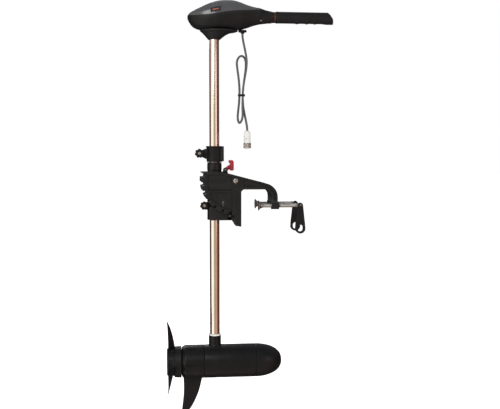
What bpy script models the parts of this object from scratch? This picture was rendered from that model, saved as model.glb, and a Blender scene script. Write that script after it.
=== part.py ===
"""Transom-mount electric trolling motor, modelled piece by piece.

Frame: the origin is the middle of the face that bears on the boat's transom, at the height of the clamp
screws. +X points inboard, along the tiller, +Z is up, and the steering shaft is vertical. Units are metres;
outlines and profiles are written in millimetres and pass through mm().
"""

import math

import bmesh
import bpy
from mathutils import Matrix, Vector

MM = 0.001
GAP = 0.3  # clearance between neighbouring pieces, in millimetres

# Driving dimensions, in millimetres
SHAFT_X = -70.0
SHAFT_R = 13.5
SHAFT_WALL = 2.0
SHAFT_TOP = 500.0
SHAFT_BOTTOM = -391.0

MOTOR_Z = -438.0
MOTOR_R = 46.0
MOTOR_BORE_R = 39.0
MOTOR_REAR = -101.0
MOTOR_FRONT = 43.0
BELL_REAR = -163.0
NOSE_TIP = 117.0
SPIGOT_R = 38.7
SOCKET_R = 17.0
SOCKET_TOP = -365.0
ROTOR_SHAFT_R = 5.0
BEARING_R = 11.0
BOLT_CIRCLE_R = 34.0
FLUTE_COUNT = 6

PROP_FRONT = -163.8
PROP_REAR = -204.0
PROP_HUB_R = 39.0
PROP_FLANGE_R = 43.6
PROP_R = 118.0
PROP_PITCH = 105.0
PROP_RAKE = 12.0
BLADE_COUNT = 3
BLADE_PHASE = 3.5  # degrees from +Z towards -Y
BLADE_SWEEP = 9.0

PIVOT_X = -15.0
PIVOT_Z = 68.0
SECTOR_R = 94.0
NOTCH_DEPTH = 8.5
NOTCH_PITCH = 15.0  # degrees
NOTCH_WIDTH = 6.2  # degrees
NOTCH_COUNT = 7
FIRST_NOTCH = 9.5  # degrees from -Z towards -X

CHEEK_IN = 35.6
CHEEK_OUT = 50.4
RECESS = 4.0
PLATE_BACK = -14.0
PLATE_BOTTOM = -57.0
SADDLE_Z = 44.0
SADDLE_TOP = 50.0
LEG_IN = 84.0
LEG_OUT = 100.0

SCREW_Y = 43.0
SCREW_R = 6.0
BOSS_R = 10.5
PAD_X = 47.0
PAD_R = 14.3
HANDLE_PIN_X = 163.0
HANDLE_LENGTH = 78.0

SLEEVE_R = 20.0
SLEEVE_BORE_R = 17.0
SLEEVE_TOP = 117.0
BLOCK_BOTTOM = -41.0
COLLAR_BOTTOM = 118.4
COLLAR_TOP = 162.0
DEPTH_KNOB_X = -112.0
DEPTH_KNOB_Z = 142.0
TENSION_KNOB_X = -99.0
TENSION_KNOB_Z = -1.0
LEVER_X = -40.0
LEVER_Z = 97.0
LOCK_X = PIVOT_X - 97.0 * math.sin(math.radians(FIRST_NOTCH))
LOCK_Z = PIVOT_Z - 97.0 * math.cos(math.radians(FIRST_NOTCH))

TILLER_Z = 514.5
NECK_END = 88.0
GRIP_START = 99.0
GRIP_END = 260.0
GRIP_R = 16.0
TILLER_TUBE_R = 9.0
TWIST_ROD_R = 3.0

CORD_R = 3.0
CORD_POINTS = 60

BLACK_PLASTIC = ("black_plastic", (0.012, 0.012, 0.013), 0.5, 0.0)
BLACK_CASTING = ("black_casting", (0.014, 0.015, 0.016), 0.42, 0.0)
COVER_GLOSS = ("grey_gloss_cover", (0.06, 0.065, 0.07), 0.18, 0.0)
POLISHED_STEEL = ("polished_steel", (0.78, 0.72, 0.68), 0.12, 1.0)
ZINC_STEEL = ("zinc_steel", (0.6, 0.6, 0.6), 0.3, 1.0)
MAGNET_GREY = ("ferrite", (0.05, 0.05, 0.055), 0.7, 0.0)
COPPER = ("copper", (0.8, 0.35, 0.2), 0.3, 1.0)
CARBON = ("carbon", (0.02, 0.02, 0.02), 0.8, 0.0)
RUBBER = ("rubber", (0.015, 0.015, 0.015), 0.85, 0.0)
LEVER_RED = ("lever_red", (0.35, 0.015, 0.03), 0.3, 0.0)
NYLON = ("nylon", (0.75, 0.74, 0.7), 0.5, 0.0)
BOARD_GREEN = ("board_green", (0.02, 0.15, 0.05), 0.5, 0.0)


def material(kind):
    """The Principled material of this kind, made once."""
    name, colour, roughness, metallic = kind
    if name in bpy.data.materials:
        return bpy.data.materials[name]
    made = bpy.data.materials.new(name)
    made.use_nodes = True
    made.diffuse_color = (*colour, 1.0)
    shader = made.node_tree.nodes["Principled BSDF"]
    shader.inputs["Base Color"].default_value = (*colour, 1.0)
    shader.inputs["Roughness"].default_value = roughness
    shader.inputs["Metallic"].default_value = metallic
    return made


def mm(*values):
    """A point given in millimetres, as a vector in metres."""
    return Vector(values) * MM


def new_object(name, mesh, kind, pivot=(0, 0, 0)):
    """Link a mesh modelled in place as an object whose origin is at pivot, in millimetres."""
    origin = mm(*pivot)
    mesh.transform(Matrix.Translation(-origin))
    made = bpy.data.objects.new(name, mesh)
    made.location = origin
    bpy.context.collection.objects.link(made)
    if kind:
        mesh.materials.append(material(kind))
    return made


def from_bmesh(name, shape, kind, pivot=(0, 0, 0), smooth=True):
    bmesh.ops.recalc_face_normals(shape, faces=shape.faces)
    mesh = bpy.data.meshes.new(name)
    shape.to_mesh(mesh)
    shape.free()
    if smooth:
        mesh.shade_smooth()
        mesh.set_sharp_from_angle(angle=math.radians(35))
    return new_object(name, mesh, kind, pivot)


def axis_frame(axis):
    """Which way the profile's length and its two radial directions point."""
    return {
        "X": (Vector((1, 0, 0)), Vector((0, 1, 0)), Vector((0, 0, 1))),
        "Y": (Vector((0, 1, 0)), Vector((0, 0, 1)), Vector((1, 0, 0))),
        "Z": (Vector((0, 0, 1)), Vector((1, 0, 0)), Vector((0, 1, 0))),
    }[axis]


def turned(name, axis, centre, profile, kind, steps=24, bored=False, pivot=(0, 0, 0), radius_at=None):
    """A turned piece. profile is a list of (distance along the axis, radius), from one end to the other.

    A bored piece's profile is a closed loop; any other runs between two points on the axis. radius_at, if
    given, scales the radius by the angle.
    """
    along, out_a, out_b = axis_frame(axis)
    base = Vector(centre)
    shape = bmesh.new()
    rings = []
    for length, radius in profile:
        if radius == 0:
            rings.append([shape.verts.new((base + along * length) * MM)])
            continue
        ring = []
        for step in range(steps):
            angle = 2 * math.pi * step / steps
            reach = radius * (radius_at(angle, radius) if radius_at else 1.0)
            out = out_a * math.cos(angle) + out_b * math.sin(angle)
            ring.append(shape.verts.new((base + along * length + out * reach) * MM))
        rings.append(ring)
    pairs = list(zip(rings, rings[1:]))
    if bored:
        pairs.append((rings[-1], rings[0]))
    for low, high in pairs:
        bridge(shape, low, high)
    return from_bmesh(name, shape, kind, pivot)


def bridge(shape, low, high):
    """Faces between two rings, either of which may be a single point."""
    count = max(len(low), len(high))
    for step in range(count):
        after = (step + 1) % count
        start, end = step % len(low), after % len(low)
        corners = [low[start], low[end], high[after % len(high)], high[step % len(high)]]
        unique = list(dict.fromkeys(corners))
        if len(unique) > 2:
            shape.faces.new(unique)


def lofted(name, rings, kind, pivot=(0, 0, 0), smooth=True):
    """A closed solid through rings of equal length, in millimetres, with flat ends."""
    shape = bmesh.new()
    made = [[shape.verts.new(mm(*point)) for point in ring] for ring in rings]
    for low, high in zip(made, made[1:]):
        bridge(shape, low, high)
    shape.faces.new(made[0])
    shape.faces.new(made[-1])
    return from_bmesh(name, shape, kind, pivot, smooth)


def plate(name, outline, low, high, kind, plane="XZ", pivot=(0, 0, 0)):
    """An outline in one plane, drawn through from low to high along the third axis."""
    place = {
        "XZ": lambda u, v, w: (u, w, v),
        "XY": lambda u, v, w: (u, v, w),
        "YZ": lambda u, v, w: (w, u, v),
    }[plane]
    rings = [[place(u, v, w) for u, v in outline] for w in (low, high)]
    return lofted(name, rings, kind, pivot)


def box(name, low, high, kind, pivot=(0, 0, 0)):
    corners = [(low[0], low[1]), (high[0], low[1]), (high[0], high[1]), (low[0], high[1])]
    return plate(name, corners, low[2], high[2], kind, "XY", pivot)


def arc(centre, radius, start, end, steps):
    """Points on a circle between two angles in degrees, both included."""
    angles = [math.radians(start + (end - start) * i / steps) for i in range(steps + 1)]
    return [(centre[0] + radius * math.cos(a), centre[1] + radius * math.sin(a)) for a in angles]


def rod(name, axis, centre, low, high, radius, kind, steps=20, pivot=(0, 0, 0)):
    profile = [(low, 0), (low, radius), (high, radius), (high, 0)]
    return turned(name, axis, centre, profile, kind, steps, pivot=pivot)


def ring(name, axis, centre, low, high, inner, outer, kind, steps=20, pivot=(0, 0, 0)):
    profile = [(low, inner), (low, outer), (high, outer), (high, inner)]
    return turned(name, axis, centre, profile, kind, steps, bored=True, pivot=pivot)


def nut(name, axis, centre, low, high, bore, corner, pivot=(0, 0, 0)):
    made = rod(name, axis, centre, low, high, corner, ZINC_STEEL, 6, pivot)
    cut(made, rod(f"{name}_bore_tool", axis, centre, low - 5, high + 5, bore, None, 16))
    return made


def boolean(target, tool, operation):
    """Apply a Boolean with a helper solid, which then stays out of the model."""
    tool.hide_render = True
    tool.hide_viewport = False
    tool.display_type = "WIRE"
    change = target.modifiers.new(tool.name, "BOOLEAN")
    change.operation = operation
    change.solver = "EXACT"
    change.object = tool
    return target


def cut(target, *tools):
    for tool in tools:
        boolean(target, tool, "DIFFERENCE")


def join(target, *tools):
    for tool in tools:
        boolean(target, tool, "UNION")


def merged(name, tools):
    """Helper solids that stand apart, gathered into one so that a single Boolean uses them all."""
    shape = bmesh.new()
    for tool in tools:
        tool.data.transform(Matrix.Translation(tool.location))
        shape.from_mesh(tool.data)
        bpy.data.objects.remove(tool, do_unlink=True)
    return from_bmesh(name, shape, None)


def bevel(target, width, segments=2, angle=40):
    change = target.modifiers.new("edges", "BEVEL")
    change.width = width * MM
    change.segments = segments
    change.limit_method = "ANGLE"
    change.angle_limit = math.radians(angle)
    change.harden_normals = False


def clear_scene():
    for item in list(bpy.data.objects):
        bpy.data.objects.remove(item, do_unlink=True)


# Motor pod


def make_motor_housing():
    centre = (0, 0, MOTOR_Z)
    housing = ring(
        "motor_housing", "X", centre, MOTOR_REAR, MOTOR_FRONT, MOTOR_BORE_R, MOTOR_R, BLACK_CASTING, 24
    )
    wall_top = MOTOR_Z + MOTOR_R
    flare = [
        (wall_top - 5, 0),
        (wall_top - 5, SOCKET_R + 5),
        (wall_top + 1, SOCKET_R + 2.5),
        (wall_top + 5, SOCKET_R),
        (SOCKET_TOP, SOCKET_R),
        (SOCKET_TOP, 0),
    ]
    socket = turned("socket_tool", "Z", (SHAFT_X, 0, 0), flare, None)
    inside = rod("housing_bore_tool", "X", centre, MOTOR_REAR - 2, MOTOR_FRONT + 2, MOTOR_BORE_R, None, 24)
    bore = rod("socket_bore_tool", "Z", (SHAFT_X, 0, 0), MOTOR_Z + 20, SOCKET_TOP + 5, SHAFT_R + GAP, None)
    join(housing, socket)
    cut(housing, inside, bore)


def flute_cutters(count, radial_low, x_low, x_high, width):
    """Slots along the bell, spread evenly round the motor axis and starting on its near side."""
    tools = []
    for index in range(count):
        turn = Matrix.Rotation(math.radians(360 / count * index), 4, "X")
        low = (x_low, -MOTOR_R - 6, -width / 2)
        high = (x_high, -radial_low, width / 2)
        tool = box(f"flute_tool_{index}", low, high, None)
        tool.data.transform(turn)
        tool.location = mm(0, 0, MOTOR_Z)
        tools.append(tool)
    return tools


def bolt_hole_cutters(name, x_low, x_high, radius):
    return [
        rod(f"{name}_{side}", "X", (0, sign * BOLT_CIRCLE_R, MOTOR_Z), x_low, x_high, radius, None, 12)
        for side, sign in (("near", -1), ("far", 1))
    ]


def make_rear_bell():
    wall_in = BELL_REAR + 6
    profile = [
        (BELL_REAR, 8.8),
        (BELL_REAR, 38.5),
        (BELL_REAR + 1.5, 42.5),
        (BELL_REAR + 5, 44.8),
        (BELL_REAR + 12, MOTOR_R),
        (MOTOR_REAR - GAP, MOTOR_R),
        (MOTOR_REAR - GAP, SPIGOT_R),
        (MOTOR_REAR + 1.6, SPIGOT_R),
        (MOTOR_REAR + 1.6, SPIGOT_R - 1.4),
        (MOTOR_REAR + 4.0, SPIGOT_R - 1.4),
        (MOTOR_REAR + 4.0, SPIGOT_R),
        (MOTOR_REAR + 7, SPIGOT_R),
        (MOTOR_REAR + 7, 26.0),
        (wall_in + 9, 26.0),
        (wall_in + 9, BEARING_R + GAP),
        (wall_in, BEARING_R + GAP),
        (wall_in, 8.8),
    ]
    bell = turned("rear_end_bell", "X", (0, 0, MOTOR_Z), profile, BLACK_CASTING, 24, bored=True)
    flutes = flute_cutters(FLUTE_COUNT, MOTOR_R - 3.2, -153, -117, 10)
    pockets = [
        rod(f"bolt_pocket_{side}", "X", (0, sign * (BOLT_CIRCLE_R + 2), MOTOR_Z), -130, -117, 6.5, None, 12)
        for side, sign in (("near", -1), ("far", 1))
    ]
    cut(bell, merged("flute_cutters", flutes))
    cut(bell, merged("bolt_pocket_cutters", pockets))
    cut(bell, merged("bell_bolt_cutters", bolt_hole_cutters("bell_bolt_hole", -120, MOTOR_REAR + 9, 2.3)))


def make_nose_cone():
    length = NOSE_TIP - MOTOR_FRONT
    ogive = []
    for step in range(7):
        turn = math.radians(90 * step / 6)
        along = MOTOR_FRONT + GAP + (length - GAP) * math.sin(turn)
        ogive.append((along, MOTOR_R * math.cos(turn) ** 0.82))
    ogive[-1] = (NOSE_TIP, 0)
    inner = [
        (58, 0),
        (58, BEARING_R + GAP),
        (50, BEARING_R + GAP),
        (50, 31.0),
        (MOTOR_FRONT - 6, 31.0),
        (MOTOR_FRONT - 6, SPIGOT_R),
        (MOTOR_FRONT - 4, SPIGOT_R),
        (MOTOR_FRONT - 4, SPIGOT_R - 1.4),
        (MOTOR_FRONT - 1.6, SPIGOT_R - 1.4),
        (MOTOR_FRONT - 1.6, SPIGOT_R),
        (MOTOR_FRONT + GAP, SPIGOT_R),
    ]
    nose = turned("nose_cone", "X", (0, 0, MOTOR_Z), inner + ogive, BLACK_CASTING, 24)
    cut(nose, merged("nose_bolt_cutters", bolt_hole_cutters("nose_bolt_hole", MOTOR_FRONT - 8, 68, 2.3)))


def make_o_rings():
    low, high = SPIGOT_R - 1.2, MOTOR_BORE_R - GAP
    centre = (0, 0, MOTOR_Z)
    ring("rear_o_ring", "X", centre, MOTOR_REAR + 1.9, MOTOR_REAR + 3.7, low, high, RUBBER, 24)
    ring("front_o_ring", "X", centre, MOTOR_FRONT - 3.7, MOTOR_FRONT - 1.9, low, high, RUBBER, 24)


def make_magnets():
    for name, middle in (("magnet_top", 90), ("magnet_bottom", 270)):
        half = 52
        outer = arc((0, MOTOR_Z), MOTOR_BORE_R - 0.8, middle - half, middle + half, 10)
        inner = arc((0, MOTOR_Z), 32.5, middle + half, middle - half, 10)
        plate(name, outer + inner, -74, 14, MAGNET_GREY, "YZ")


def make_rotor():
    centre = (0, 0, MOTOR_Z)
    pivot = (0, 0, MOTOR_Z)
    profile = [(-62, 5.3), (-62, 31.0), (10, 31.0), (10, 5.3)]
    turned("armature", "X", centre, profile, CARBON, 24, bored=True, pivot=pivot)
    ring("commutator", "X", centre, 20, 34, 5.3, 13.0, COPPER, 20, pivot=pivot)
    stud = [
        (57.4, 0),
        (57.4, ROTOR_SHAFT_R),
        (PROP_REAR + 18, ROTOR_SHAFT_R),
        (PROP_REAR + 17, 4.0),
        (PROP_REAR + 1, 4.0),
        (PROP_REAR + 1, 0),
    ]
    shaft = turned("propeller_shaft", "X", centre, stud, ZINC_STEEL, 20, pivot=pivot)
    cut(shaft, rod("pin_hole_tool", "Z", (PROP_FRONT - 5, 0, MOTOR_Z), -8, 8, 1.8, None, 12))
    rod("drive_pin", "Z", (PROP_FRONT - 5, 0, MOTOR_Z), -12, 12, 1.5, ZINC_STEEL, 12, pivot=pivot)


def make_bearings():
    centre = (0, 0, MOTOR_Z)
    ring("front_bearing", "X", centre, 50.3, 57.7, 5.3, BEARING_R, ZINC_STEEL)
    ring("rear_bearing", "X", centre, BELL_REAR + 6.3, BELL_REAR + 14, 5.3, BEARING_R, ZINC_STEEL)
    ring("shaft_seal", "X", centre, BELL_REAR + 0.5, BELL_REAR + 5.7, 5.3, 8.5, RUBBER)


def make_brushes():
    centre = (0, 0, MOTOR_Z)
    ring("brush_plate", "X", centre, 15, 18, 15.0, 31.4, BOARD_GREEN)
    for name, sign in (("brush_near", -1), ("brush_far", 1)):
        low, high = sorted((sign * 13.4, sign * 24.0))
        box(name, (22, low, MOTOR_Z - 4), (31, high, MOTOR_Z + 4), CARBON)


def make_through_bolts():
    for side, sign in (("near", -1), ("far", 1)):
        profile = [(-121, 0), (-121, 3.4), (-117.3, 3.4), (-117.3, 2.0), (66, 2.0), (66, 0)]
        centre = (0, sign * BOLT_CIRCLE_R, MOTOR_Z)
        turned(f"through_bolt_{side}", "X", centre, profile, ZINC_STEEL, 12)


def make_skeg():
    top = MOTOR_Z - MOTOR_R - GAP - 0.2
    outline = [
        (-158, top),
        (-157.5, -520),
        (-159, -545),
        (-162.5, -574),
        (-159, -579),
        (-151, -581),
        (-145, -578),
        (-137, -560),
        (-128, -538),
        (-117, -512),
        (-107, top),
    ]
    fin = plate("skeg", outline, -3.5, 3.5, BLACK_CASTING)
    bevel(fin, 1.6, 1)


# Propeller


# Blade sections: radius, half chord, half thickness
BLADE_ROOT_R = 35.5
BLADE_SECTIONS = [
    (BLADE_ROOT_R, 22, 3.0),
    (47, 27, 2.7),
    (63, 29, 2.2),
    (80, 27, 1.9),
    (95, 20, 1.5),
    (106, 12, 1.2),
    (PROP_R, 4, 0.9),
]


def blade_rings(phase):
    """Sections of one blade, from inside the hub to the tip, wrapped round the motor axis."""
    rings = []
    for radius, half_chord, half_thick in BLADE_SECTIONS:
        slope = math.atan2(PROP_PITCH, 2 * math.pi * radius)
        share = (radius - BLADE_ROOT_R) / (PROP_R - BLADE_ROOT_R)
        middle = PROP_FRONT - 27.5 - PROP_RAKE * share**1.8
        sweep = BLADE_SWEEP * share**2
        ring_points = []
        for step in range(10):
            turn = 2 * math.pi * step / 10
            chord = half_chord * math.cos(turn)
            thick = half_thick * math.sin(turn)
            x = middle - chord * math.sin(slope) + thick * math.cos(slope)
            around = (chord + sweep) * math.cos(slope) + thick * math.sin(slope)
            angle = math.radians(phase) + around / radius
            ring_points.append((x, -radius * math.sin(angle), MOTOR_Z + radius * math.cos(angle)))
        rings.append(ring_points)
    return rings


def make_propeller():
    centre = (0, 0, MOTOR_Z)
    pivot = (0, 0, MOTOR_Z)
    profile = [
        (PROP_REAR, 12.0),
        (PROP_REAR, PROP_HUB_R - 5),
        (PROP_REAR + 1.5, PROP_HUB_R - 2),
        (PROP_REAR + 5, PROP_HUB_R - 0.4),
        (PROP_FRONT - 19, PROP_HUB_R),
        (PROP_FRONT - 17, PROP_FLANGE_R - 1),
        (PROP_FRONT - 1, PROP_FLANGE_R),
        (PROP_FRONT, PROP_FLANGE_R - 1.5),
        (PROP_FRONT, 5.3),
        (PROP_REAR + 16, 5.3),
        (PROP_REAR + 16, 12.0),
    ]
    hub = turned("propeller", "X", centre, profile, BLACK_PLASTIC, 30, bored=True, pivot=pivot)
    for index in range(BLADE_COUNT):
        phase = BLADE_PHASE + 360 / BLADE_COUNT * index
        join(hub, lofted(f"blade_tool_{index}", blade_rings(phase), None))
    slot_low = (PROP_FRONT - 7, -1.9, MOTOR_Z - 12.6)
    slot_high = (PROP_FRONT + 2, 1.9, MOTOR_Z + 12.6)
    cut(hub, box("pin_slot_tool", slot_low, slot_high, None))
    washer = (PROP_REAR + 14, PROP_REAR + 15.7, 4.0 + GAP, 10.5)
    ring("propeller_washer", "X", centre, *washer, ZINC_STEEL, pivot=pivot)
    nut("propeller_nut", "X", centre, PROP_REAR + 5, PROP_REAR + 13.7, 4.0 + GAP, 8.5, pivot)


# Shaft and control head


def make_shaft():
    centre = (SHAFT_X, 0, 0)
    bore = SHAFT_R - SHAFT_WALL
    ring("shaft_tube", "Z", centre, SHAFT_BOTTOM, SHAFT_TOP, bore, SHAFT_R, POLISHED_STEEL, 24)
    ring("socket_ring", "Z", centre, SOCKET_TOP + GAP, SOCKET_TOP + 4.5, SHAFT_R + GAP, SOCKET_R, NYLON, 24)


# Head stations: X, half width, underside, seam between the shells, top
HEAD_STATIONS = [
    (-142.5, 5, 506, 514.5, 519),
    (-138, 17, 498, 514, 523),
    (-128, 28, 486, 513, 529),
    (-112, 38, 479, 512.5, 537),
    (-90, 46, 477, 513, 547.5),
    (-68, 49, 477, 516, 554.5),
    (-45, 48, 477, 520, 558),
    (-20, 44, 477.5, 524, 558),
    (0, 38, 480, 526.5, 553.5),
    (18, 31, 484, 528.5, 547),
    (38, 23.5, 491, 530.5, 541.5),
    (56, 18.5, 495.5, 533, 538.5),
]
NECK_STATIONS = [
    (56.6, 18.5, 495.5, 514.5, 538.5),
    (72, 16.3, 497.5, 514.5, 533.5),
    (NECK_END, 15.8, 498.7, 514.5, 530.3),
]
HEAD_WALL = 3.0
HALF_STEPS = 10


def half_section(station, upper, inset=0.0):
    """Half of a head section, as points from its near side to its far side."""
    x, half_width, low, seam, high = station
    width = half_width - inset
    height = (high - seam if upper else seam - low) - inset
    power = 0.8 if upper else 0.72
    points = []
    for step in range(HALF_STEPS + 1):
        turn = math.pi * step / HALF_STEPS
        across = -math.copysign(abs(math.cos(turn)) ** power, math.cos(turn)) * width
        rise = abs(math.sin(turn)) ** power * height
        points.append((x, across, seam + (rise if upper else -rise)))
    return points


def closed_rings(stations, upper, inset=0.0, overlap=0.0):
    """Rings of one half of the head, closed across the seam, or beyond it by overlap for a cutter."""
    rings = []
    for station in stations:
        points = half_section(station, upper, inset)
        side = -1 if upper else 1
        if overlap:
            first, last = points[0], points[-1]
            reach = side * overlap
            points = [(*first[:2], first[2] + reach), *points, (*last[:2], last[2] + reach)]
        rings.append(points)
    return rings


def lower_ring(station, whole):
    """A section of the lower shell: open along the seam under the cover, whole along the neck."""
    lower = half_section(station, False)
    upper = half_section(station, True)[-2:0:-1]
    if not whole:
        upper = [(x, y, station[3]) for x, y, _ in upper]
    return lower + upper


def make_head_shells():
    rings = [lower_ring(station, False) for station in HEAD_STATIONS]
    rings += [lower_ring(station, True) for station in NECK_STATIONS]
    lower = lofted("head_lower_shell", rings, BLACK_PLASTIC)
    cavity = closed_rings(HEAD_STATIONS[1:-1], False, HEAD_WALL, 12)
    cut(
        lower,
        lofted("head_cavity_tool", cavity, None),
        rod("tiller_bore_tool", "X", (0, 0, TILLER_Z), 10, NECK_END + 5, TILLER_TUBE_R + GAP, None),
        rod("head_shaft_tool", "Z", (SHAFT_X, 0, 0), 470, 490, SHAFT_R + GAP, None),
        rod("head_lead_tool", "Z", (8, 0, 0), 470, 500, 3.4, None, 12),
    )
    raised = [(x, width, low, seam + GAP, high) for x, width, low, seam, high in HEAD_STATIONS]
    cover = lofted("head_top_cover", closed_rings(raised, True), COVER_GLOSS)
    cut(cover, lofted("cover_cavity_tool", closed_rings(raised[1:-1], True, HEAD_WALL, 6), None))


# How the skirt narrows with depth: below 1 its sides are hollow
SKIRT_CURVE = 0.66


def make_skirt():
    top = [
        (-57 + 50 * math.cos(2 * math.pi * i / 24), 33 * math.sin(2 * math.pi * i / 24), 476.4)
        for i in range(24)
    ]
    rings = []
    for share in (0, 0.25, 0.55, 1.0):
        blend = share**SKIRT_CURVE
        ring_points = []
        for index, (x, y, z) in enumerate(top):
            angle = 2 * math.pi * index / 24
            end = (SHAFT_X + 17 * math.cos(angle), 17 * math.sin(angle))
            ring_points.append((x + (end[0] - x) * blend, y + (end[1] - y) * blend, z - 24.4 * share))
        rings.append(ring_points)
    skirt = lofted("head_skirt", rings, BLACK_PLASTIC)
    cut(skirt, rod("skirt_bore_tool", "Z", (SHAFT_X, 0, 0), 445, 485, SHAFT_R + GAP, None, 24))


def make_cord_gland():
    profile = [(469.6, 3.4), (469.6, 5.2), (472.6, 6.4), (473.4, 11.6), (478.6, 11.6), (478.6, 7.2)]
    profile += [(479.2, 7.2), (479.2, 3.4)]
    turned("cord_gland", "Z", (8, 0, 0), profile, RUBBER, 20, bored=True)


def make_tiller():
    centre = (0, 0, TILLER_Z)
    ring_low, ring_high = NECK_END + GAP, GRIP_START - GAP
    ring("tiller_ring", "X", centre, ring_low, ring_high, TILLER_TUBE_R + GAP, 15.2, BLACK_PLASTIC)
    bore = TILLER_TUBE_R - 2
    ring("tiller_tube", "X", centre, -52, 238, bore, TILLER_TUBE_R, BLACK_CASTING, pivot=centre)
    rod("twist_rod", "X", centre, -84, 86, TWIST_ROD_R, ZINC_STEEL, 12, pivot=centre)
    ring("switch_drum", "X", centre, -108, -84.4, 4, 14, NYLON, pivot=centre)


def make_grip():
    """The grip: round, with finger ridges below, and an end that slants back to the top."""
    rings = []
    ridges = (159, 186, 209, 236)
    stations = [GRIP_START, 101, 112, 130, 146, 172, 197, 222, 230, 238, GRIP_END]
    for ridge in ridges[:3]:
        stations += [ridge - 5, ridge, ridge + 5]
    for x in sorted(stations):
        points = []
        for step in range(16):
            angle = 2 * math.pi * step / 16
            radius = GRIP_R - (1.2 if x == GRIP_START else 0)
            if math.sin(angle) < -0.3:
                near = max(math.exp(-(((x - ridge) / 4.0) ** 2)) for ridge in ridges)
                end = 1.0 if x > 236 else 0.0
                radius += 1.6 * max(near, end) * min(1.0, -math.sin(angle) * 1.4)
            points.append((x, radius * math.cos(angle), TILLER_Z + radius * math.sin(angle)))
        rings.append(points)
    grip = lofted("grip", rings, RUBBER, pivot=(0, 0, TILLER_Z))
    slant = [(244, 540), (250, 525), (257, 511), (261, 495), (280, 480), (280, 550), (240, 550)]
    cut(grip, plate("grip_end_tool", slant, -25, 25, None))
    cut(grip, rod("grip_bore_tool", "X", (0, 0, TILLER_Z), 90, 242, TILLER_TUBE_R + GAP, None))


# Power cord


CORD_ROUTE = [
    (8.0, 0.0, 469.3),
    (8.3, 0.0, 460.0),
    (10.5, -0.5, 446.0),
    (15.0, -1.5, 424.0),
    (18.5, -3.0, 403.0),
    (19.0, -4.0, 388.0),
    (17.0, -4.5, 368.0),
    (12.0, -4.5, 340.0),
    (9.0, -4.2, 315.0),
    (8.0, -4.0, 290.0),
    (7.5, -5.0, 268.0),
    (7.5, -9.0, 248.0),
    (5.5, -10.0, 235.0),
    (1.0, -4.5, 226.5),
    (-2.5, 5.0, 228.5),
    (-4.5, 9.5, 241.0),
    (-3.5, 7.0, 258.0),
    (-1.0, 4.2, 285.0),
    (0.0, 4.0, 315.0),
    (-2.0, 4.2, 345.0),
    (-5.5, 4.5, 372.0),
    (-7.0, 5.5, 392.0),
    (-2.0, 6.0, 405.0),
    (6.5, 7.0, 409.5),
    (14.5, 8.0, 404.0),
    (18.0, 8.0, 390.0),
    (17.0, 7.0, 370.0),
    (13.5, 5.5, 345.0),
    (10.0, 4.6, 318.0),
    (9.0, 4.2, 292.0),
    (10.5, 4.0, 270.0),
    (14.0, 3.5, 250.0),
    (18.0, 2.0, 230.0),
    (20.5, 0.5, 214.0),
    (21.0, 0.0, 204.8),
]
PLUG_X = 21.0
PLUG_TOP = 204.5


def smooth_route(points, count):
    """Evenly spaced points on the Catmull-Rom curve through the route."""
    route = [Vector(point) for point in points]
    padded = [route[0] * 2 - route[1], *route, route[-1] * 2 - route[-2]]
    fine = []
    for before, start, end, after in zip(padded, padded[1:], padded[2:], padded[3:]):
        for step in range(12):
            t = step / 12
            fine.append(
                0.5
                * (
                    2 * start
                    + (end - before) * t
                    + (2 * before - 5 * start + 4 * end - after) * t**2
                    + (3 * start - before - 3 * end + after) * t**3
                )
            )
    fine.append(route[-1])
    reach = [0.0]
    for start, end in zip(fine, fine[1:]):
        reach.append(reach[-1] + (end - start).length)
    spaced, place = [], 0
    for index in range(count):
        target = reach[-1] * index / (count - 1)
        while place < len(fine) - 2 and reach[place + 1] < target:
            place += 1
        share = (target - reach[place]) / (reach[place + 1] - reach[place])
        spaced.append(fine[place].lerp(fine[place + 1], share))
    return spaced


def make_cord():
    curve = bpy.data.curves.new("power_cord", "CURVE")
    curve.dimensions = "3D"
    curve.bevel_depth = CORD_R * MM
    curve.bevel_resolution = 2
    curve.use_fill_caps = True
    points = smooth_route(CORD_ROUTE, CORD_POINTS)
    spline = curve.splines.new("POLY")
    spline.points.add(len(points) - 1)
    for place, point in zip(spline.points, points):
        place.co = (*mm(*point), 1.0)
    curve.materials.append(material(RUBBER))
    bpy.context.collection.objects.link(bpy.data.objects.new("power_cord", curve))


def make_plug():
    top = PLUG_TOP
    profile = [
        (top, 0),
        (top, 5.0),
        (top - 4, 8.2),
        (top - 8, 9.4),
        (top - 20, 9.4),
        (top - 22, 8.6),
        (top - 24, 9.8),
        (top - 34, 9.8),
        (top - 34, 7.2),
        (top - 50, 7.2),
        (top - 50, 5.6),
        (top - 40, 5.6),
        (top - 40, 0),
    ]
    turned("plug_body", "Z", (PLUG_X, 0, 0), profile, NYLON, 16)
    ring("plug_coupling_ring", "Z", (PLUG_X, 0, 0), top - 48, top - 34.4, 7.5, 10.6, ZINC_STEEL, 16)


def make_cord_tie():
    """A short band round the three strands of the folded cord, standing clear of each."""
    outer = [(-4.6, -9.2), (13.2, -9.2), (13.2, 9.0), (-4.6, 9.0)]
    inner = [(-3.7, -8.3), (12.3, -8.3), (12.3, 8.1), (-3.7, 8.1)]
    band = plate("cord_tie", outer, 299, 304, BLACK_PLASTIC, "XY")
    cut(band, plate("tie_bore_tool", inner, 295, 308, None, "XY"))


# Depth collar


def lobed(lobes, depth):
    """How far a knob's rim reaches, as a share of its radius."""
    return lambda angle, radius: 1.0 - depth * (0.5 - 0.5 * math.cos(lobes * angle)) if radius > 6 else 1.0


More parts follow.
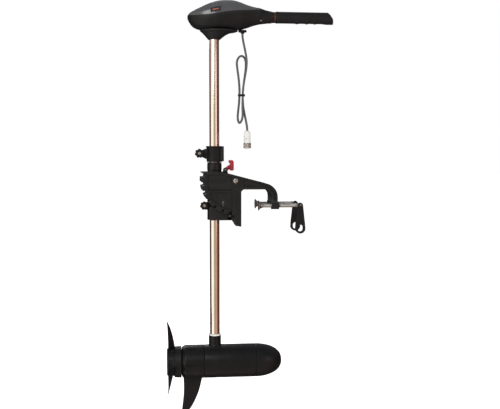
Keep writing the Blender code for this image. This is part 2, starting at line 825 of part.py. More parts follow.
def make_knob(name, x, z, radius, face_y, pivot):
    """A lobed knob on a Y axis, with its bolt end showing in a hollow at its middle."""
    profile = [
        (face_y, 0),
        (face_y, radius * 0.62),
        (face_y - 4, radius * 0.62),
        (face_y - 5, radius * 0.96),
        (face_y - 6.5, radius),
        (face_y - 12.5, radius),
        (face_y - 14, radius * 0.9),
        (face_y - 14.5, radius * 0.5),
        (face_y - 14.5, 4.6),
        (face_y - 12.5, 4.6),
        (face_y - 12.5, 0),
    ]
    return turned(name, "Y", (x, 0, z), profile, BLACK_PLASTIC, 21, pivot=pivot, radius_at=lobed(7, 0.13))


def make_clamp_bolt(name, x, z, low, high, pivot=(0, 0, 0)):
    profile = [(low, 0), (low, 2.8), (high, 2.8), (high, 5.2), (high + 4, 5.2), (high + 4, 0)]
    return turned(name, "Y", (x, 0, z), profile, ZINC_STEEL, 12, pivot=pivot)


def make_depth_collar():
    axis = (SHAFT_X, 0, 0)
    profile = [
        (COLLAR_BOTTOM, SHAFT_R + GAP),
        (COLLAR_BOTTOM, 21.0),
        (COLLAR_TOP - 3, 22.0),
        (COLLAR_TOP - 3, 23.6),
        (COLLAR_TOP, 23.6),
        (COLLAR_TOP, SHAFT_R + GAP),
    ]
    collar = turned("depth_collar", "Z", axis, profile, BLACK_PLASTIC, 28, bored=True, pivot=axis)
    block = box("collar_block_tool", (-60, -14, COLLAR_BOTTOM + 2), (-44.5, 14, COLLAR_TOP - 0.4), None)
    ear = [(-76, 160), (-92, 157)]
    ear += arc((DEPTH_KNOB_X, DEPTH_KNOB_Z), 8.5, 60, 290, 8)
    ear += [(-92, 126), (-76, 122)]
    ears = plate("collar_ear_tool", ear, -10, 10, None)
    bore = rod("collar_bore_tool", "Z", axis, 110, 170, SHAFT_R + GAP, None, 28)
    slit = box("collar_slit_tool", (-130, -1.5, 110), (SHAFT_X, 1.5, 170), None)
    hole = rod("collar_hole_tool", "Y", (DEPTH_KNOB_X, 0, DEPTH_KNOB_Z), -20, 20, 3.1, None, 12)
    join(collar, block, ears)
    cut(collar, bore, slit, hole)
    make_clamp_bolt("collar_bolt", DEPTH_KNOB_X, DEPTH_KNOB_Z, -10.1, 10.3)
    make_knob("depth_knob", DEPTH_KNOB_X, DEPTH_KNOB_Z, 13.0, -10.4, (DEPTH_KNOB_X, 0, DEPTH_KNOB_Z))


# Swivel bracket and tilt lock


def make_swivel_bracket():
    axis = (SHAFT_X, 0, 0)
    pivot = (PIVOT_X, 0, PIVOT_Z)
    low, high = BLOCK_BOTTOM, SLEEVE_TOP
    walls = (SLEEVE_BORE_R, SLEEVE_R)
    bracket = ring("swivel_bracket", "Z", axis, low, high, *walls, BLACK_CASTING, 28, pivot)
    hub = rod("pivot_hub_tool", "Y", pivot, -CHEEK_IN + 0.5, CHEEK_IN - 0.5, 11, None, 24)
    web_outline = [(-58, 92), (-47, 92), (-34, 88), (-27, 84), (-12, 79), (-8, 70)]
    web_outline += [(-15, 57), (-27, 40), (-40, -20), (-58, -30)]
    web = plate("bracket_web_tool", web_outline, -9.5, 9.5, None)
    block = box("bracket_block_tool", (-85.2, -33, BLOCK_BOTTOM), (-24, 33, -5), None)
    bevel(block, 4, 2)
    brace_outline = [(-84, -6), (-56, -6), (-30, 50), (-30, 62), (-84, 30)]
    brace = plate("bracket_brace_tool", brace_outline, -26, 26, None)
    lugs = [
        plate(f"lever_lug_tool_{n}", lug_outline(), low, high, None)
        for n, low, high in ((0, -9.5, -5.4), (1, 5.4, 9.5))
    ]
    ears = plate("tension_ear_tool", ear_outline(), -11, 11, None)
    slot_low = (LOCK_X - 3.5, -40, LOCK_Z - 3.6)
    slot_high = (LOCK_X + 3.5, 40, LOCK_Z + 10.2)
    join(bracket, hub, web, brace, block, *lugs, ears)
    cut(
        bracket,
        rod("bracket_bore_tool", "Z", axis, low - 5, high + 5, SLEEVE_BORE_R, None, 28),
        rod("pivot_bore_tool", "Y", pivot, -50, 50, 5.3, None, 20),
        rod("lock_bore_tool", "Z", (LOCK_X, 0, 0), -35, 100, 2.9, None, 12),
        box("lock_slot_tool", slot_low, slot_high, None),
        rod("lever_pin_bore_tool", "Y", (LEVER_X, 0, LEVER_Z), -15, 15, 2.5, None, 12),
        box("ear_slit_tool", (-125, -1.5, -60), (SHAFT_X - SLEEVE_BORE_R + 2, 1.5, 12), None),
        rod("ear_hole_tool", "Y", (TENSION_KNOB_X, 0, TENSION_KNOB_Z), -20, 20, 3.1, None, 12),
    )


def lug_outline():
    return [(-48, 86)] + arc((LEVER_X, LEVER_Z), 5.5, 150, 0, 6) + [(-33, 86)]


def ear_outline():
    return [(-80, 9)] + arc((TENSION_KNOB_X, TENSION_KNOB_Z), 8, 70, 280, 8) + [(-80, -18)]


def make_swivel_bushes():
    centre = (SHAFT_X, 0, 0)
    inner, outer = SHAFT_R + GAP, SLEEVE_BORE_R - GAP
    ring("swivel_bush_upper", "Z", centre, 92, SLEEVE_TOP + 0.8, inner, outer, NYLON)
    ring("swivel_bush_lower", "Z", centre, BLOCK_BOTTOM - 0.8, -16, inner, outer, NYLON)


def make_tension_knob():
    make_clamp_bolt("tension_bolt", TENSION_KNOB_X, TENSION_KNOB_Z, -11.1, 11.3)
    pivot = (TENSION_KNOB_X, 0, TENSION_KNOB_Z)
    make_knob("tension_knob", TENSION_KNOB_X, TENSION_KNOB_Z, 12.3, -11.4, pivot)


def make_tilt_lock():
    """The red lever on the bracket, and the bar that it lifts into the notches of the two cheeks."""
    pivot = (LEVER_X, 0, LEVER_Z)
    arm = [(-27, 112), (-43, 101.5), (-49.6, 99), (-49.6, 94.6), (-42, 92.4), (-37.5, 92.8)]
    arm += [(-25, 100.5), (-21, 110)]
    lever = plate("tilt_lever", arm, -4.8, 4.8, LEVER_RED, pivot=pivot)
    head = [(-27, 95), (-20, 94), (-17.5, 97), (-17, 119)]
    head += [(-20, 124), (-30, 123.5), (-31, 119), (-25.5, 112)]
    head_tool = plate("lever_head_tool", head, -11, 11, None)
    bevel(head_tool, 1.6, 2)
    join(lever, head_tool)
    cut(lever, rod("lever_bore_tool", "Y", pivot, -20, 20, 2.5, None, 12))
    rod("lever_pin", "Y", pivot, -11, 11, 2.2, ZINC_STEEL, 12)
    centre = (LOCK_X, 0, LOCK_Z)
    bar = rod("lock_bar", "Y", centre, -CHEEK_OUT + 0.4, CHEEK_OUT - 0.4, 3, ZINC_STEEL, 16, pivot=centre)
    join(bar, rod("lock_rod_tool", "Z", (LOCK_X, 0, 0), LOCK_Z, 82, 2.5, None, 12))


# Clamp frame


def sector_edge():
    """The notched rim of a cheek, from its lowest notch up to its highest."""
    points = []
    for index in range(NOTCH_COUNT):
        middle = FIRST_NOTCH + NOTCH_PITCH * index
        start = 2.5 if index == 0 else middle - NOTCH_PITCH / 2
        for angle, radius in (
            (start, SECTOR_R),
            (middle - NOTCH_WIDTH / 2, SECTOR_R),
            (middle - NOTCH_WIDTH / 2 + 0.4, SECTOR_R - NOTCH_DEPTH),
            (middle + NOTCH_WIDTH / 2 - 0.4, SECTOR_R - NOTCH_DEPTH),
        ):
            points.append(on_sector(angle, radius))
        if index < NOTCH_COUNT - 1:
            points.append(on_sector(middle + NOTCH_WIDTH / 2, SECTOR_R))
    return points


def on_sector(angle, radius):
    """A point round the tilt pivot, at an angle in degrees from straight down towards the shaft."""
    turn = math.radians(angle)
    return (PIVOT_X - radius * math.sin(turn), PIVOT_Z - radius * math.cos(turn))


def side_outline():
    """One side of the clamp frame: cheek, transom plate edge, arm and leg."""
    outline = [(-18.2, -30), (-17.5, -50), (-5, PLATE_BOTTOM), (0, PLATE_BOTTOM)]
    outline += arc((9, SADDLE_Z - 9), 9, 180, 90, 4)
    outline += arc((LEG_IN - 20, SADDLE_Z - 20), 20, 90, 0, 5)
    outline += [(LEG_IN, -3.7), (LEG_OUT, -3.7), (LEG_OUT, 22)]
    outline += [(99, 33), (94.5, 43), (87, 51.5), (76, 58.5)]
    outline += [(-22, 84), (-50, 89), (-64, 91.5), (-107, 91.5), (-107, 89)]
    return outline + sector_edge()[::-1]


def recess_outlines():
    """Sunk panels in a side's outer face: two on the cheek and one along the arm."""
    upper = [(-90, 84), (-56, 84), (-25, 79), (-24, 40), (-88, 40), (-92, 62)]
    lower = [(-86, 35), (-24, 35), (-24, -16)]
    lower += [on_sector(angle, SECTOR_R - 13) for angle in range(12, 61, 12)]
    arm = [(4, 52), (62, 51), (78, 46), (90, 32), (91, 20)]
    arm += [(96, 20), (93, 36), (86, 46), (74, 53.5), (4, 72)]
    return {"upper": upper, "lower": lower, "arm": arm}


def make_clamp_frame():
    half = CHEEK_IN + 1
    frame = box("clamp_frame", (PLATE_BACK, -half, PLATE_BOTTOM), (0, half, SADDLE_TOP), BLACK_CASTING)
    saddle = box("saddle_tool", (PLATE_BACK, -half, SADDLE_Z), (30, half, SADDLE_TOP), None)
    join(frame, saddle)
    for side, sign in (("near", -1), ("far", 1)):
        low, high = sorted((sign * CHEEK_IN, sign * CHEEK_OUT))
        join(frame, plate(f"side_tool_{side}", side_outline(), low, high, None))
        centre = (0, sign * SCREW_Y, 0)
        join(frame, rod(f"boss_tool_{side}", "X", centre, LEG_IN - 2, LEG_OUT + 4, BOSS_R, None, 20))
    cutters = [rod("frame_pivot_tool", "Y", (PIVOT_X, 0, PIVOT_Z), -60, 60, 5.3, None, 20)]
    for side, sign in (("near", -1), ("far", 1)):
        low, high = sorted((sign * (CHEEK_OUT - RECESS), sign * (CHEEK_OUT + 5)))
        for name, outline in recess_outlines().items():
            cutters.append(plate(f"recess_tool_{name}_{side}", outline, low, high, None))
        centre = (0, sign * SCREW_Y, 0)
        cutters.append(rod(f"screw_bore_tool_{side}", "X", centre, 70, 115, SCREW_R + GAP, None, 20))
    cut(frame, merged("frame_cutters", cutters))


def make_tilt_bolt():
    pivot = (PIVOT_X, 0, PIVOT_Z)
    low = -CHEEK_OUT - GAP
    high = CHEEK_OUT + 9
    head = [(low - 4, 0), (low - 4, 5.4), (low - 2.5, 7.2), (low, 7.2)]
    profile = head + [(low, 5.0), (high, 5.0), (high, 0)]
    turned("tilt_bolt", "Y", pivot, profile, ZINC_STEEL, 20)
    nut("tilt_nut", "Y", pivot, CHEEK_OUT + GAP, CHEEK_OUT + 8, 5.0 + GAP, 8.6)


# Clamp screws


def make_clamp_screw(side, sign):
    centre = (0, sign * SCREW_Y, 0)
    pad = [
        (PAD_X, 0),
        (PAD_X, PAD_R - 0.8),
        (PAD_X + 1.2, PAD_R),
        (PAD_X + 2.6, PAD_R - 1.0),
        (PAD_X + 5, 8.5),
        (PAD_X + 11, 7.5),
        (PAD_X + 11, 4.4),
        (PAD_X + 4, 4.4),
        (PAD_X + 4, 0),
    ]
    turned(f"clamp_pad_{side}", "X", centre, pad, ZINC_STEEL, 16, pivot=(PAD_X, *centre[1:]))
    neck = PAD_X + 4.4
    screw = [
        (neck, 0),
        (neck, 4.0),
        (PAD_X + 11.4, 4.0),
        (PAD_X + 11.4, SCREW_R),
        (HANDLE_PIN_X - 9, SCREW_R),
        (HANDLE_PIN_X - 8, SCREW_R - 1),
        (HANDLE_PIN_X - 8, 0),
    ]
    body = turned(f"clamp_screw_{side}", "X", centre, screw, ZINC_STEEL, 20, pivot=centre)
    root = HANDLE_PIN_X - 12
    eye = [(root, -5.0)] + arc((HANDLE_PIN_X, 0), 6, -90, 90, 8) + [(root, 5.0)]
    eye_tool = plate(f"eye_tool_{side}", eye, sign * SCREW_Y - 2.2, sign * SCREW_Y + 2.2, None)
    hole = rod(f"eye_bore_tool_{side}", "Y", (HANDLE_PIN_X, sign * SCREW_Y, 0), -20, 20, 2.3, None, 12)
    join(body, eye_tool)
    cut(body, hole)


def make_clamp_handle(side, sign):
    """A flat paddle that hangs from the screw's eye on a pin, with a finger hole near its free end."""
    pin = (HANDLE_PIN_X, sign * SCREW_Y, 0)
    low = -HANDLE_LENGTH
    outline = arc((HANDLE_PIN_X, 0), 7.2, 10, 170, 8)
    outline += [(HANDLE_PIN_X - 10.5, -26), (HANDLE_PIN_X - 12.5, -48)]
    outline += arc((HANDLE_PIN_X, low + 14), 14, 170, 370, 12)
    outline += [(HANDLE_PIN_X + 12.5, -48), (HANDLE_PIN_X + 10.5, -26)]
    near, far = pin[1] - 5.6, pin[1] + 5.6
    handle = plate(f"clamp_handle_{side}", outline, near, far, BLACK_PLASTIC, pivot=pin)
    hole = arc((HANDLE_PIN_X, low + 13), 7.5, 180, 360, 8)
    hole += arc((HANDLE_PIN_X, low + 17), 7.5, 0, 180, 8)
    cut(
        handle,
        plate(f"finger_hole_tool_{side}", hole, pin[1] - 10, pin[1] + 10, None),
        box(
            f"fork_tool_{side}",
            (HANDLE_PIN_X - 20, pin[1] - 2.6, -9.5),
            (HANDLE_PIN_X + 20, pin[1] + 2.6, 15),
            None,
        ),
        rod(f"fork_bore_tool_{side}", "Y", pin, -20, 20, 2.3, None, 12),
    )
    rod(f"handle_pin_{side}", "Y", pin, -6.2, 6.2, 2.0, ZINC_STEEL, 12, pivot=pin)


def main():
    clear_scene()
    make_motor_housing()
    make_rear_bell()
    make_nose_cone()
    make_o_rings()
    make_magnets()
    make_rotor()
    make_bearings()
    make_brushes()
    make_through_bolts()
    make_skeg()
    make_propeller()
    make_shaft()
    make_head_shells()
    make_skirt()
    make_cord_gland()
    make_tiller()
    make_grip()
    make_cord()
    make_plug()
    make_cord_tie()
    make_depth_collar()
    make_swivel_bracket()
    make_swivel_bushes()
    make_tension_knob()
    make_tilt_lock()
    make_clamp_frame()
    make_tilt_bolt()
    for side, sign in (("near", -1), ("far", 1)):
        make_clamp_screw(side, sign)
        make_clamp_handle(side, sign)


main()
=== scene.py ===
"""Looks of the transom-mount electric trolling motor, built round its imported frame.

Lengths in this file are millimetres and go to metres in one place, point().
"""

import math

import bmesh
import bpy
from mathutils import Matrix, Vector


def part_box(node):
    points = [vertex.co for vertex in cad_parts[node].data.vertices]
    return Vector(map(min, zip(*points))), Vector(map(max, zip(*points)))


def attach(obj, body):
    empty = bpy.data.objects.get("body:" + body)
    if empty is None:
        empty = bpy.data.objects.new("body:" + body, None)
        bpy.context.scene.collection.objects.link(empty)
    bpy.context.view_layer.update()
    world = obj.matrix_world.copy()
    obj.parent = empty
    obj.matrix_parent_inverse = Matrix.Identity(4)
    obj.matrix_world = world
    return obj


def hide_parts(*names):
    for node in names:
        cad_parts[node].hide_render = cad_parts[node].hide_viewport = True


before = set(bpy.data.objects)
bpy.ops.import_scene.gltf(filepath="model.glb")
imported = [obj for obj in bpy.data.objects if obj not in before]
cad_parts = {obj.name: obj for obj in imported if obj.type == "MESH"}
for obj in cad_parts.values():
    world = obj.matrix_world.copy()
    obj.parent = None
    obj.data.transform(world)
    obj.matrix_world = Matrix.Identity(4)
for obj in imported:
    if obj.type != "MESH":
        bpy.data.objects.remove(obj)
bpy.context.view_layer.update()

MM = 0.001


def span(node):
    """A CAD node's lowest and highest corners in millimetres."""
    low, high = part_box(node)
    return low / MM, high / MM


def middle(node):
    low, high = span(node)
    return (low + high) / 2


def point(x, y, z):
    return Vector((x, y, z)) * MM


# Where the CAD says the main pieces are
SHAFT_X = middle("shaft_tube").x
SHAFT_R = (span("shaft_tube")[1].x - span("shaft_tube")[0].x) / 2
SHAFT_LOW, SHAFT_HIGH = span("shaft_tube")[0].z, span("shaft_tube")[1].z
MOTOR_Z = middle("armature").z
MOTOR_R = (span("nose_cone")[1].y - span("nose_cone")[0].y) / 2
MOTOR_REAR, MOTOR_FRONT = span("motor_housing")[0].x, span("motor_housing")[1].x
BELL_REAR = span("rear_end_bell")[0].x
NOSE_TIP = span("nose_cone")[1].x
SOCKET_TOP = span("motor_housing")[1].z
PROP_REAR, PROP_FRONT = -204.0, -163.8
TILLER_Z = middle("tiller_tube").z
NECK_END = span("head_lower_shell")[1].x
GRIP_START, GRIP_END = span("grip")[0].x, span("grip")[1].x
PIVOT_X, PIVOT_Z = middle("tilt_bolt").x, middle("tilt_bolt").z
DEPTH_KNOB = middle("collar_bolt")
TENSION_KNOB = middle("tension_bolt")
COLLAR_LOW, COLLAR_HIGH = span("depth_collar")[0].z, span("depth_collar")[1].z
BLOCK_LOW, SLEEVE_HIGH = span("swivel_bracket")[0].z, span("swivel_bracket")[1].z
CHEEK_OUT = span("clamp_frame")[1].y - 3.1
CHEEK_IN = CHEEK_OUT - 14.8
PLATE_LOW = span("clamp_frame")[0].z
SCREW_Y = middle("clamp_screw_far").y
PAD_X = span("clamp_pad_near")[0].x
PIN_X = middle("handle_pin_near").x
LEVER_X, LEVER_Z = middle("lever_pin").x, middle("lever_pin").z
PLUG_X = middle("plug_body").x
PLUG_TOP = span("plug_body")[1].z


# Camera

camera_data = bpy.data.cameras.new("camera")
camera_data.lens = 58.25
camera_data.sensor_width = 36.0
camera_data.clip_end = 200.0
camera = bpy.data.objects.new("camera", camera_data)
camera.location = (-0.20593, -2.23299, 0.14292)
aim = Vector((0.02876, 0.0, 0.00009)) - camera.location
camera.rotation_euler = aim.to_track_quat("-Z", "Y").to_euler()
bpy.context.scene.collection.objects.link(camera)
bpy.context.scene.camera = camera


# Materials


def shader_nodes(name):
    made = bpy.data.materials.new(name)
    made.use_nodes = True
    tree = made.node_tree
    return made, tree, tree.nodes["Principled BSDF"]


def noise(tree, coordinates, scale, detail=3.0, roughness=0.55):
    made = tree.nodes.new("ShaderNodeTexNoise")
    made.inputs["Scale"].default_value = scale
    made.inputs["Detail"].default_value = detail
    made.inputs["Roughness"].default_value = roughness
    tree.links.new(coordinates, made.inputs["Vector"])
    return made.outputs["Fac"]


def mapped(tree, value, low, high, to_low, to_high):
    made = tree.nodes.new("ShaderNodeMapRange")
    for socket, number in zip(("From Min", "From Max", "To Min", "To Max"), (low, high, to_low, to_high)):
        made.inputs[socket].default_value = number
    tree.links.new(value, made.inputs["Value"])
    return made.outputs["Result"]


def mixed(tree, factor, first, second):
    """A colour between two, each a colour or another node's output."""
    made = tree.nodes.new("ShaderNodeMix")
    made.data_type = "RGBA"
    tree.links.new(factor, made.inputs["Factor"])
    for socket, value in (("A", first), ("B", second)):
        target = next(i for i in made.inputs if i.name == socket and i.type == "RGBA")
        if isinstance(value, tuple):
            target.default_value = (*value, 1.0)
        else:
            tree.links.new(value, target)
    return next(o for o in made.outputs if o.type == "RGBA")


def scaled(colour, share):
    return tuple(min(1.0, channel * share) for channel in colour)


def surface(
    name,
    colour,
    rough,
    metal=0.0,
    grain=1400.0,
    relief=0.12,
    cloud=0.18,
    edge_wear_and_highlight=None,
    specular=0.35,
    coat=0.0,
    stretch=(1.0, 1.0, 1.0),
    spread=0.06,
    pores=0.0,
):
    """A material with cloudy colour, grained roughness and bump, and paler edges that are partly rubbed wear and partly
    a painted highlight.
    """
    made, tree, shader = shader_nodes(name)
    place = tree.nodes.new("ShaderNodeTexCoord").outputs["Object"]
    mapping = tree.nodes.new("ShaderNodeMapping")
    mapping.inputs["Scale"].default_value = stretch
    tree.links.new(place, mapping.inputs["Vector"])
    stretched = mapping.outputs["Vector"]
    clouds = mapped(tree, noise(tree, place, 38.0, 5.0), 0.3, 0.7, 0.0, 1.0)
    base = mixed(tree, clouds, scaled(colour, 1.0 - cloud), scaled(colour, 1.0 + cloud))
    fine = noise(tree, stretched, grain, 4.0, 0.6)
    if edge_wear_and_highlight:
        # Paler colour on sharp edges, found by pointiness: partly rubbed wear, partly a painted highlight on rims
        point_out = tree.nodes.new("ShaderNodeNewGeometry").outputs["Pointiness"]
        edge = mapped(tree, point_out, 0.53, 0.6, 0.0, 0.55)
        base = mixed(tree, edge, base, edge_wear_and_highlight)
    tree.links.new(base, shader.inputs["Base Color"])
    tree.links.new(
        mapped(tree, fine, 0.3, 0.7, max(0.02, rough - spread), min(1.0, rough + spread)),
        shader.inputs["Roughness"],
    )
    bump = tree.nodes.new("ShaderNodeBump")
    bump.inputs["Strength"].default_value = relief
    bump.inputs["Distance"].default_value = 0.0002
    height = fine
    if pores:
        cells = tree.nodes.new("ShaderNodeTexVoronoi")
        cells.inputs["Scale"].default_value = pores
        tree.links.new(place, cells.inputs["Vector"])
        height = cells.outputs["Distance"]
    tree.links.new(height, bump.inputs["Height"])
    tree.links.new(bump.outputs["Normal"], shader.inputs["Normal"])
    shader.inputs["Metallic"].default_value = metal
    shader.inputs["Specular IOR Level"].default_value = specular
    shader.inputs["Coat Weight"].default_value = coat
    shader.inputs["Coat Roughness"].default_value = 0.08
    return made


def shaft_steel():
    """Polished tube with fine lengthwise drawing marks and a slightly coppery tone."""
    return surface(
        "polished_steel",
        (0.86, 0.74, 0.66),
        0.14,
        metal=1.0,
        grain=900.0,
        relief=0.002,
        cloud=0.05,
        stretch=(1.0, 1.0, 0.02),
        spread=0.012,
    )


MATERIALS = {
    # The pale edge colours here are partly rubbed wear and partly a painted highlight; on the casting they are mostly a
    # painted rim highlight
    "black_plastic": surface(
        "black_plastic", (0.008, 0.008, 0.0085), 0.46, edge_wear_and_highlight=(0.03, 0.03, 0.032), pores=1500.0, relief=0.1, specular=0.18
    ),
    "black_casting": surface(
        "black_casting", (0.0095, 0.0098, 0.0105), 0.35, edge_wear_and_highlight=(0.11, 0.11, 0.115), pores=1100.0, relief=0.12, specular=0.26
    ),
    "pod_paint": surface("pod_paint", (0.0065, 0.0067, 0.0072), 0.3, edge_wear_and_highlight=(0.04, 0.04, 0.042), relief=0.04, specular=0.2),
    "cover": surface(
        "cover", (0.06, 0.062, 0.066), 0.24, relief=0.02, cloud=0.08, coat=0.35, specular=0.5, spread=0.03
    ),
    "polished_steel": shaft_steel(),
    "zinc": surface(
        "zinc", (0.45, 0.445, 0.43), 0.33, metal=1.0, grain=700.0, relief=0.06, stretch=(0.2, 1.0, 1.0)
    ),
    "satin_white": surface("satin_white", (0.72, 0.72, 0.7), 0.4, grain=900.0, cloud=0.05, specular=0.5),
    "rubber": surface("rubber", (0.008, 0.008, 0.0086), 0.5, pores=1900.0, relief=0.3, cloud=0.22, specular=0.2),
    "cord": surface("cord", (0.075, 0.077, 0.082), 0.42, grain=600.0, relief=0.2, specular=0.5),
    "lever_red": surface("lever_red", (0.36, 0.012, 0.03), 0.3, specular=0.5, relief=0.05, coat=0.2),
    "copper": surface("copper", (0.55, 0.2, 0.1), 0.3, metal=1.0, grain=500.0, stretch=(0.1, 1.0, 1.0)),
    "badge": surface("badge", (0.3, 0.06, 0.03), 0.4, specular=0.5, relief=0.05),
    "ferrite": surface("ferrite", (0.05, 0.05, 0.055), 0.7, pores=900.0, relief=0.3),
    "laminations": surface(
        "laminations", (0.22, 0.22, 0.23), 0.4, metal=1.0, grain=1200.0, stretch=(1.0, 0.02, 0.02), relief=0.5
    ),
    "carbon": surface("carbon", (0.02, 0.02, 0.02), 0.75, pores=1300.0, relief=0.3),
    "insulator": surface("insulator", (0.03, 0.13, 0.06), 0.45, grain=500.0, stretch=(1.0, 3.0, 0.2)),
    "steel_dark": surface("steel_dark", (0.12, 0.12, 0.12), 0.4, metal=1.0, grain=800.0, relief=0.1),
}


# Shape helpers


def fillet(points, radius, closed=True, segments=3):
    """An outline with its corners rounded. A point may carry its own radius as a third number."""
    rounded = []
    count = len(points)
    for index, corner in enumerate(points):
        here = Vector(corner[:2])
        if not closed and index in (0, count - 1):
            rounded.append(tuple(here))
            continue
        back = Vector(points[index - 1][:2]) - here
        on = Vector(points[(index + 1) % count][:2]) - here
        size = corner[2] if len(corner) > 2 else radius
        reach = min(size, 0.45 * back.length, 0.45 * on.length)
        if reach < 0.01 or back.angle(on, math.pi) > math.radians(174):
            rounded.append(tuple(here))
            continue
        start = here + back.normalized() * reach
        end = here + on.normalized() * reach
        for step in range(segments + 1):
            share = step / segments
            spot = start * (1 - share) ** 2 + here * 2 * share * (1 - share) + end * share**2
            rounded.append(tuple(spot))
    return rounded


def arc(centre, radius, start, end, steps):
    angles = [math.radians(start + (end - start) * i / steps) for i in range(steps + 1)]
    return [(centre[0] + radius * math.cos(a), centre[1] + radius * math.sin(a)) for a in angles]


def skin(shape, rings, joined_ends=False, caps=True):
    """Faces through rings of points in millimetres; a ring of one point closes to a tip."""
    made = [[shape.verts.new(point(*spot)) for spot in ring] for ring in rings]
    pairs = list(zip(made, made[1:]))
    if joined_ends:
        pairs.append((made[-1], made[0]))
    for low, high in pairs:
        count = max(len(low), len(high))
        for step in range(count):
            after = (step + 1) % count
            corners = [low[step % len(low)], low[after % len(low)]]
            corners += [high[after % len(high)], high[step % len(high)]]
            corners = list(dict.fromkeys(corners))
            if len(corners) > 2:
                shape.faces.new(corners)
    if caps and not joined_ends:
        for ring in (made[0], made[-1]):
            if len(ring) > 2:
                shape.faces.new(ring)


AXES = {
    "X": (Vector((1, 0, 0)), Vector((0, 1, 0)), Vector((0, 0, 1))),
    "Y": (Vector((0, 1, 0)), Vector((0, 0, 1)), Vector((1, 0, 0))),
    "Z": (Vector((0, 0, 1)), Vector((1, 0, 0)), Vector((0, 1, 0))),
}


def turned(shape, axis, centre, profile, steps=96, corner=0.6, bored=False, relief=None, spacing=None):
    """A turned solid with rounded corners. relief(along, angle, radius) gives a new radius."""
    along, out_a, out_b = AXES[axis]
    outline = fillet(profile, corner, bored)
    if spacing:
        outline = subdivided(outline, spacing, bored)
    rings = []
    for length, radius in outline:
        if radius < 1e-6:
            rings.append([Vector(centre) + along * length])
            continue
        ring = []
        for step in range(steps):
            angle = 2 * math.pi * step / steps
            reach = relief(length, angle, radius) if relief else radius
            ring.append(Vector(centre) + along * length + (out_a * math.cos(angle) + out_b * math.sin(angle)) * reach)
        rings.append(ring)
    skin(shape, rings, joined_ends=bored)


def subdivided(outline, spacing, closed):
    made = []
    count = len(outline)
    for index in range(count if closed else count - 1):
        start, end = Vector(outline[index]), Vector(outline[(index + 1) % count])
        pieces = max(1, math.ceil((end - start).length / spacing))
        made += [tuple(start.lerp(end, step / pieces)) for step in range(pieces)]
    if not closed:
        made.append(outline[-1])
    return made


def tube(shape, axis, centre, low, high, inner, outer, steps=96, corner=0.5):
    turned(shape, axis, centre, [(low, inner), (low, outer), (high, outer), (high, inner)], steps, corner, True)


def rod(shape, axis, centre, low, high, radius, steps=64, corner=0.5):
    turned(shape, axis, centre, [(low, 0), (low, radius), (high, radius), (high, 0)], steps, corner)


PLANES = {
    "XZ": Matrix(((1, 0, 0), (0, 0, 1), (0, 1, 0))).to_4x4(),
    "XY": Matrix.Identity(4),
    "YZ": Matrix(((0, 0, 1), (1, 0, 0), (0, 1, 0))).to_4x4(),
}


def prism(shape, outline, low, high, plane="XZ", holes=(), corner=1.0, edge=0.7):
    """A plate with this outline and holes, its corners and its edges rounded."""
    curve = bpy.data.curves.new("outline", "CURVE")
    curve.dimensions = "2D"
    curve.fill_mode = "BOTH"
    for loop in (outline, *holes):
        rounded = fillet(loop, corner)
        spline = curve.splines.new("POLY")
        spline.points.add(len(rounded) - 1)
        spline.use_cyclic_u = True
        for spot, (u, v) in zip(spline.points, rounded):
            spot.co = (u * MM, v * MM, 0.0, 1.0)
    curve.extrude = (high - low) / 2 * MM - edge * MM
    curve.bevel_depth = edge * MM
    curve.bevel_resolution = 2
    curve.offset = -edge * MM
    holder = bpy.data.objects.new("outline", curve)
    bpy.context.scene.collection.objects.link(holder)
    ready = bpy.context.evaluated_depsgraph_get()
    mesh = bpy.data.meshes.new_from_object(holder.evaluated_get(ready))
    bpy.data.objects.remove(holder)
    bpy.data.curves.remove(curve)
    mesh.transform(Matrix.Translation((0, 0, (low + high) / 2 * MM)))
    mesh.transform(PLANES[plane])
    local = bmesh.new()
    local.from_mesh(mesh)
    bmesh.ops.remove_doubles(local, verts=local.verts, dist=1e-6)
    local.to_mesh(mesh)
    local.free()
    shape.from_mesh(mesh)
    bpy.data.meshes.remove(mesh)


def block(shape, low, high, corner=1.5, edge=0.7, plane="XY"):
    """A box with rounded corners."""
    order = {"XY": (0, 1, 2), "XZ": (0, 2, 1), "YZ": (1, 2, 0)}[plane]
    (u0, v0, w0), (u1, v1, w1) = ([c[i] for i in order] for c in (low, high))
    prism(shape, [(u0, v0), (u1, v0), (u1, v1), (u0, v1)], w0, w1, plane, (), corner, edge)


def piece(name, shape, material, body, replaces=(), angle=32):
    """Make the object, give it its material and slot, and let it ride on its body."""
    bmesh.ops.recalc_face_normals(shape, faces=shape.faces)
    mesh = bpy.data.meshes.new(name)
    shape.to_mesh(mesh)
    shape.free()
    mesh.shade_smooth()
    mesh.set_sharp_from_angle(angle=math.radians(angle))
    mesh.materials.append(MATERIALS[material])
    made = bpy.data.objects.new(name, mesh)
    bpy.context.scene.collection.objects.link(made)
    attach(made, body)
    if replaces:
        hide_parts(*replaces)
    return made


def smooth(share):
    share = min(1.0, max(0.0, share))
    return share * share * (3 - 2 * share)


def catmull(values, position):
    """A smooth value between the rows of a table at a fractional row."""
    index = min(int(position), len(values) - 2)
    t = position - index
    rows = [values[min(max(index + k, 0), len(values) - 1)] for k in (-1, 0, 1, 2)]
    return [
        0.5 * (2 * b + (c - a) * t + (2 * a - 5 * b + 4 * c - d) * t**2 + (3 * b - a - 3 * c + d) * t**3)
        for a, b, c, d in zip(*rows)
    ]


# Power cord

